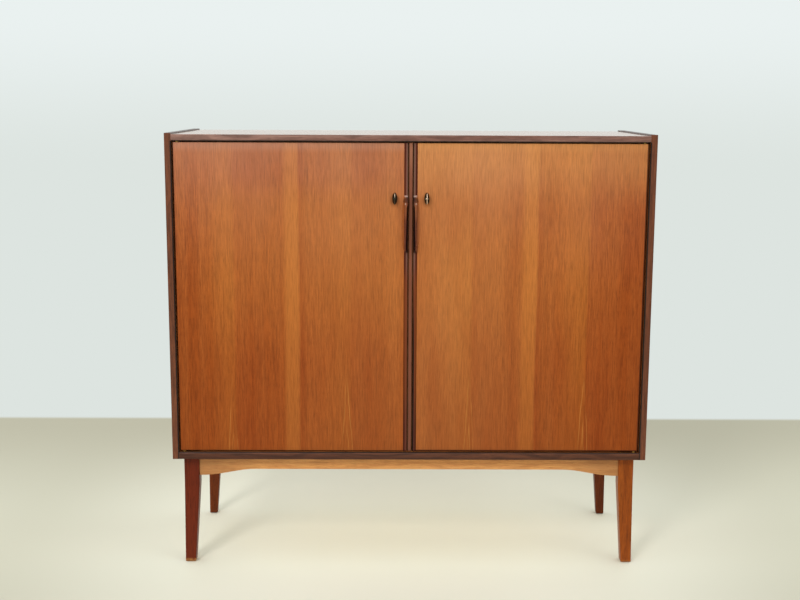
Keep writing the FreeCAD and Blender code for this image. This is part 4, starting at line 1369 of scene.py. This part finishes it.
@dataclass
class Plate:
    """Oval escutcheon with a keyhole."""

    half_tall: float = 14 * MM
    half_wide: float = 5.9 * MM
    thick: float = 1.0 * MM
    hole: float = 2.4 * MM
    slot_half: float = 1.5 * MM
    slot_drop: float = 6.6 * MM
    rim_round: float = 0.55 * MM
    rim_from: float = 0.98
    points: int = 56

    def build(self, side: Side) -> None:
        """Builds the plate round one keyhole."""
        low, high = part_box("door_left_escutcheon")
        centre = (low + high) / 2
        piece = Piece(f"keyhole_plate_{side.word}")
        outer, inner = (bmesh.ops.create_circle(piece.bm, cap_ends=False, segments=self.points,
                                                radius=1.0)["verts"] for _ in range(2))
        for vert in outer:
            vert.co = Vector((vert.co.x * self.half_wide, 0, vert.co.y * self.half_tall))
        for vert in inner:
            vert.co = self._hole_point(math.atan2(vert.co.y, vert.co.x))
        bmesh.ops.bridge_loops(piece.bm, edges=piece.bm.edges)
        bmesh.ops.translate(piece.bm, verts=piece.bm.verts, vec=Vector((centre.x, high.y, centre.z)))
        front = piece.extrude(piece.bm.faces, Vector((0, low.y - high.y, 0)))
        rim = {v for v in front if isinstance(v, bmesh.types.BMVert) and self._on_rim(v.co, centre)}
        piece.bevel(lambda e: rim.issuperset(e.verts), self.rim_round, 3)
        piece.mirror(side)
        piece.finish(side.door, "brass", DARK_BRASS, [f"{side.door}_escutcheon"],
                     TURNED_SMOOTH)

    def _on_rim(self, point: Vector, centre: Vector) -> bool:
        """True on the plate's outer oval."""
        across = (point.x - centre.x) / self.half_wide
        up = (point.z - centre.z) / self.half_tall
        return across ** 2 + up ** 2 > self.rim_from

    def _hole_point(self, angle: float) -> Vector:
        """Point of the keyhole's outline in one direction."""
        down = -math.sin(angle)
        aside = abs(math.cos(angle))
        reach = self.hole
        if down > 0:
            slot = min(self.slot_drop / down, self.slot_half / max(aside, 0.001))
            reach = max(reach, slot)
        return Vector((math.cos(angle) * reach, 0, math.sin(angle) * reach))


@dataclass
class Door:
    """One door with its strip, pull, plate, key, lock and hinge screws."""

    side: Side
    strip_round: float = 2.0 * MM
    flange: float = 1.5 * MM
    flange_inset: float = 7 * MM

    def build(self) -> None:
        """Builds and dresses the door."""
        word, door = self.side.word, self.side.door
        dress(DOOR_VENEERS[self.side], f"{door}_panel")
        dress(STEEL, f"{door}_lock_case", f"bolt_{word}")
        dress(PIN_BRASS, f"{door}_hinge_leaves")
        upright_strip(f"closing_strip_{word}", f"{door}_edge_strip", door, self.strip_round,
                      STRIP_WOODS[self.side])
        Handle().build(self.side)
        Plate().build(self.side)
        Key().build(self.side)
        self.lock_screws()
        leaf_screws(f"door_hinge_screws_{word}", f"{door}_hinge_leaves", door, [self.side], -UP)

    def lock_screws(self) -> None:
        """Screws in the corners of the lock's flange."""
        door = self.side.door
        low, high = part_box(f"{door}_lock_case")
        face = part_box(f"{door}_panel")[1].y + self.flange
        inset = Vector((self.flange_inset, 0, self.flange_inset / 2))
        low, high = low + inset, high - inset
        places = spots((low.x, high.x), (face,), (low.z, high.z), BACK)
        ScrewSet(f"lock_screws_{self.side.word}", door, "steel", SCREW_STEEL).build(places)


@dataclass(frozen=True)
class Lamp:
    """Square soft lamp that points at a spot."""

    name: str
    place: tuple[float, float, float]
    aim: tuple[float, float, float]
    size: float
    watts: float

    def build(self) -> None:
        """Hangs the lamp."""
        data = bpy.data.lights.new(self.name, "AREA")
        data.size = self.size
        data.energy = self.watts
        lamp = bpy.data.objects.new(self.name, data)
        lamp.location = self.place
        lamp.rotation_euler = (Vector(self.aim) - Vector(self.place)).to_track_quat("-Z", "Y").to_euler()
        bpy.context.scene.collection.objects.link(lamp)


@dataclass
class Studio:
    """Pale floor, soft light from above and the photograph's camera."""

    wall_low: str = "dde4e0"
    wall_high: str = "eaf1f0"
    wall_rise: Span = (-0.06, 0.07)
    floor: str = "faf6e6"
    floor_cloud: str = "f4f0df"
    cloud_pitch: tuple[float, ...] = (1.2, 4.0, 1.0)
    floor_radius: float = 14.0
    wall_line: float = 1.2
    wall_blur: float = 0.02
    light: float = 1.32
    above: Span = (0.05, 0.75)
    behind: Span = (-0.3, 0.5)
    front_light: float = 0.6
    behind_light: float = 0.66
    lamps: tuple[Lamp, ...] = (Lamp("key lamp", (-2.4, -5.2, 4.1), (0, 0, 0.8), 1.5, 150.0),
                               Lamp("side lamp", (4.4, -3.4, 4.2), (0, 0, 0.7), 2.7, 26.0))
    eye: tuple[float, float, float] = (-0.0428, -3.0506, 1.157)
    pitch: float = 0.1666
    yaw: float = 0.0063
    roll: float = 0.0045
    focal_pixels: float = 1191.9
    image_width: int = 800
    sensor: float = 36.0

    def build(self) -> None:
        """Sets the whole stage."""
        bpy.context.scene.view_settings.view_transform = "Standard"
        self.backdrop()
        self.ground()
        for lamp in self.lamps:
            lamp.build()
        self.camera()

    def backdrop(self) -> None:
        """World that is bright above and behind, dim in front, and shows as a pale wall."""
        world = bpy.data.worlds.new("pale room")
        bpy.context.scene.world = world
        nodes = Nodes.on(world)
        path = nodes.add("ShaderNodeLightPath").outputs
        _, y, z = nodes.axes(nodes.add("ShaderNodeTexCoord").outputs["Generated"])
        wall = nodes.mix(nodes.step(z, *self.wall_rise), srgb(self.wall_low), srgb(self.wall_high))
        bright = nodes.math("MAXIMUM", nodes.step(z, *self.above),
                            nodes.times(nodes.step(y, *self.behind), self.behind_light))
        spread = nodes.plus(nodes.times(bright, 1.0 - self.front_light), self.front_light)
        lit = nodes.times(spread, self.light)
        seen = nodes.math("MAXIMUM", path["Is Camera Ray"], path["Is Transmission Ray"])
        strength = nodes.plus(lit, nodes.times(seen, nodes.minus(1.0, lit)))
        light = nodes.add("ShaderNodeBackground", {"Color": wall, "Strength": strength}).outputs[0]
        nodes.add("ShaderNodeOutputWorld", {"Surface": light})

    def ground(self) -> None:
        """Round floor that turns into the wall's colour behind the cabinet."""
        material = bpy.data.materials.new("pale floor")
        nodes = Nodes.on(material)
        place = Place(nodes)
        cloud = nodes.noise(place.spot, self.cloud_pitch, 3)
        colour = nodes.mix(cloud, srgb(self.floor), srgb(self.floor_cloud))
        # Painted shade on the floor: darker to the sides, towards the wall and in front of the cabinet.
        for stain in (
                Stain("aside", "cac5b2", ramp(aside, 0.25, 1.1)),
                Stain("far", "b3ac98", ramp(depth, 0.1, self.wall_line)),
                Stain("before", "a29d8c", ramp(depth, -0.4, -3.4) | 0.3 * ramp(depth, -0.05, -0.55))):
            colour = stain.lay(place, colour)
        matt = nodes.add("ShaderNodeBsdfPrincipled", {"Base Color": colour, "Roughness": 0.7,
                                                      "Specular IOR Level": 0.2}).outputs[0]
        glow = nodes.add("ShaderNodeEmission", {"Color": srgb(self.wall_low), "Strength": 1.0}).outputs[0]
        far = ramp(depth, self.wall_line - self.wall_blur, self.wall_line + self.wall_blur).wire(place)
        haze = nodes.times(far, nodes.add("ShaderNodeLightPath").outputs["Is Camera Ray"])
        blend = nodes.add("ShaderNodeMixShader", {0: haze, 1: matt, 2: glow}).outputs[0]
        nodes.add("ShaderNodeOutputMaterial", {"Surface": blend})
        mesh = bpy.data.meshes.new("floor")
        bm = bmesh.new()
        bmesh.ops.create_circle(bm, cap_ends=True, segments=96, radius=self.floor_radius)
        bm.to_mesh(mesh)
        bm.free()
        mesh.materials.append(material)
        floor = bpy.data.objects.new("floor", mesh)
        bpy.context.scene.collection.objects.link(floor)

    def camera(self) -> None:
        """Camera at the photograph's place."""
        data = bpy.data.cameras.new("camera")
        data.sensor_width = self.sensor
        data.lens = self.focal_pixels * self.sensor / self.image_width
        data.clip_end = 100.0
        ahead = Vector((math.sin(self.yaw) * math.cos(self.pitch),
                        math.cos(self.yaw) * math.cos(self.pitch), -math.sin(self.pitch)))
        level = Vector((math.cos(self.yaw), -math.sin(self.yaw), 0))
        above = level.cross(ahead)
        right = math.cos(self.roll) * level + math.sin(self.roll) * above
        upward = math.cos(self.roll) * above - math.sin(self.roll) * level
        turn = Matrix((right, upward, -ahead)).transposed().to_4x4()
        camera = bpy.data.objects.new("camera", data)
        camera.matrix_world = Matrix.Translation(self.eye) @ turn
        bpy.context.scene.collection.objects.link(camera)
        bpy.context.scene.camera = camera


def main() -> None:
    """Builds the cabinet in order."""
    logging.basicConfig(level=logging.INFO, format="%(name)s: %(message)s")
    Case().build()
    Shelves().build()
    LegFrame().build()
    for side in Side:
        Door(side).build()
    Studio().build()


if __name__ == "__main__":
    main()
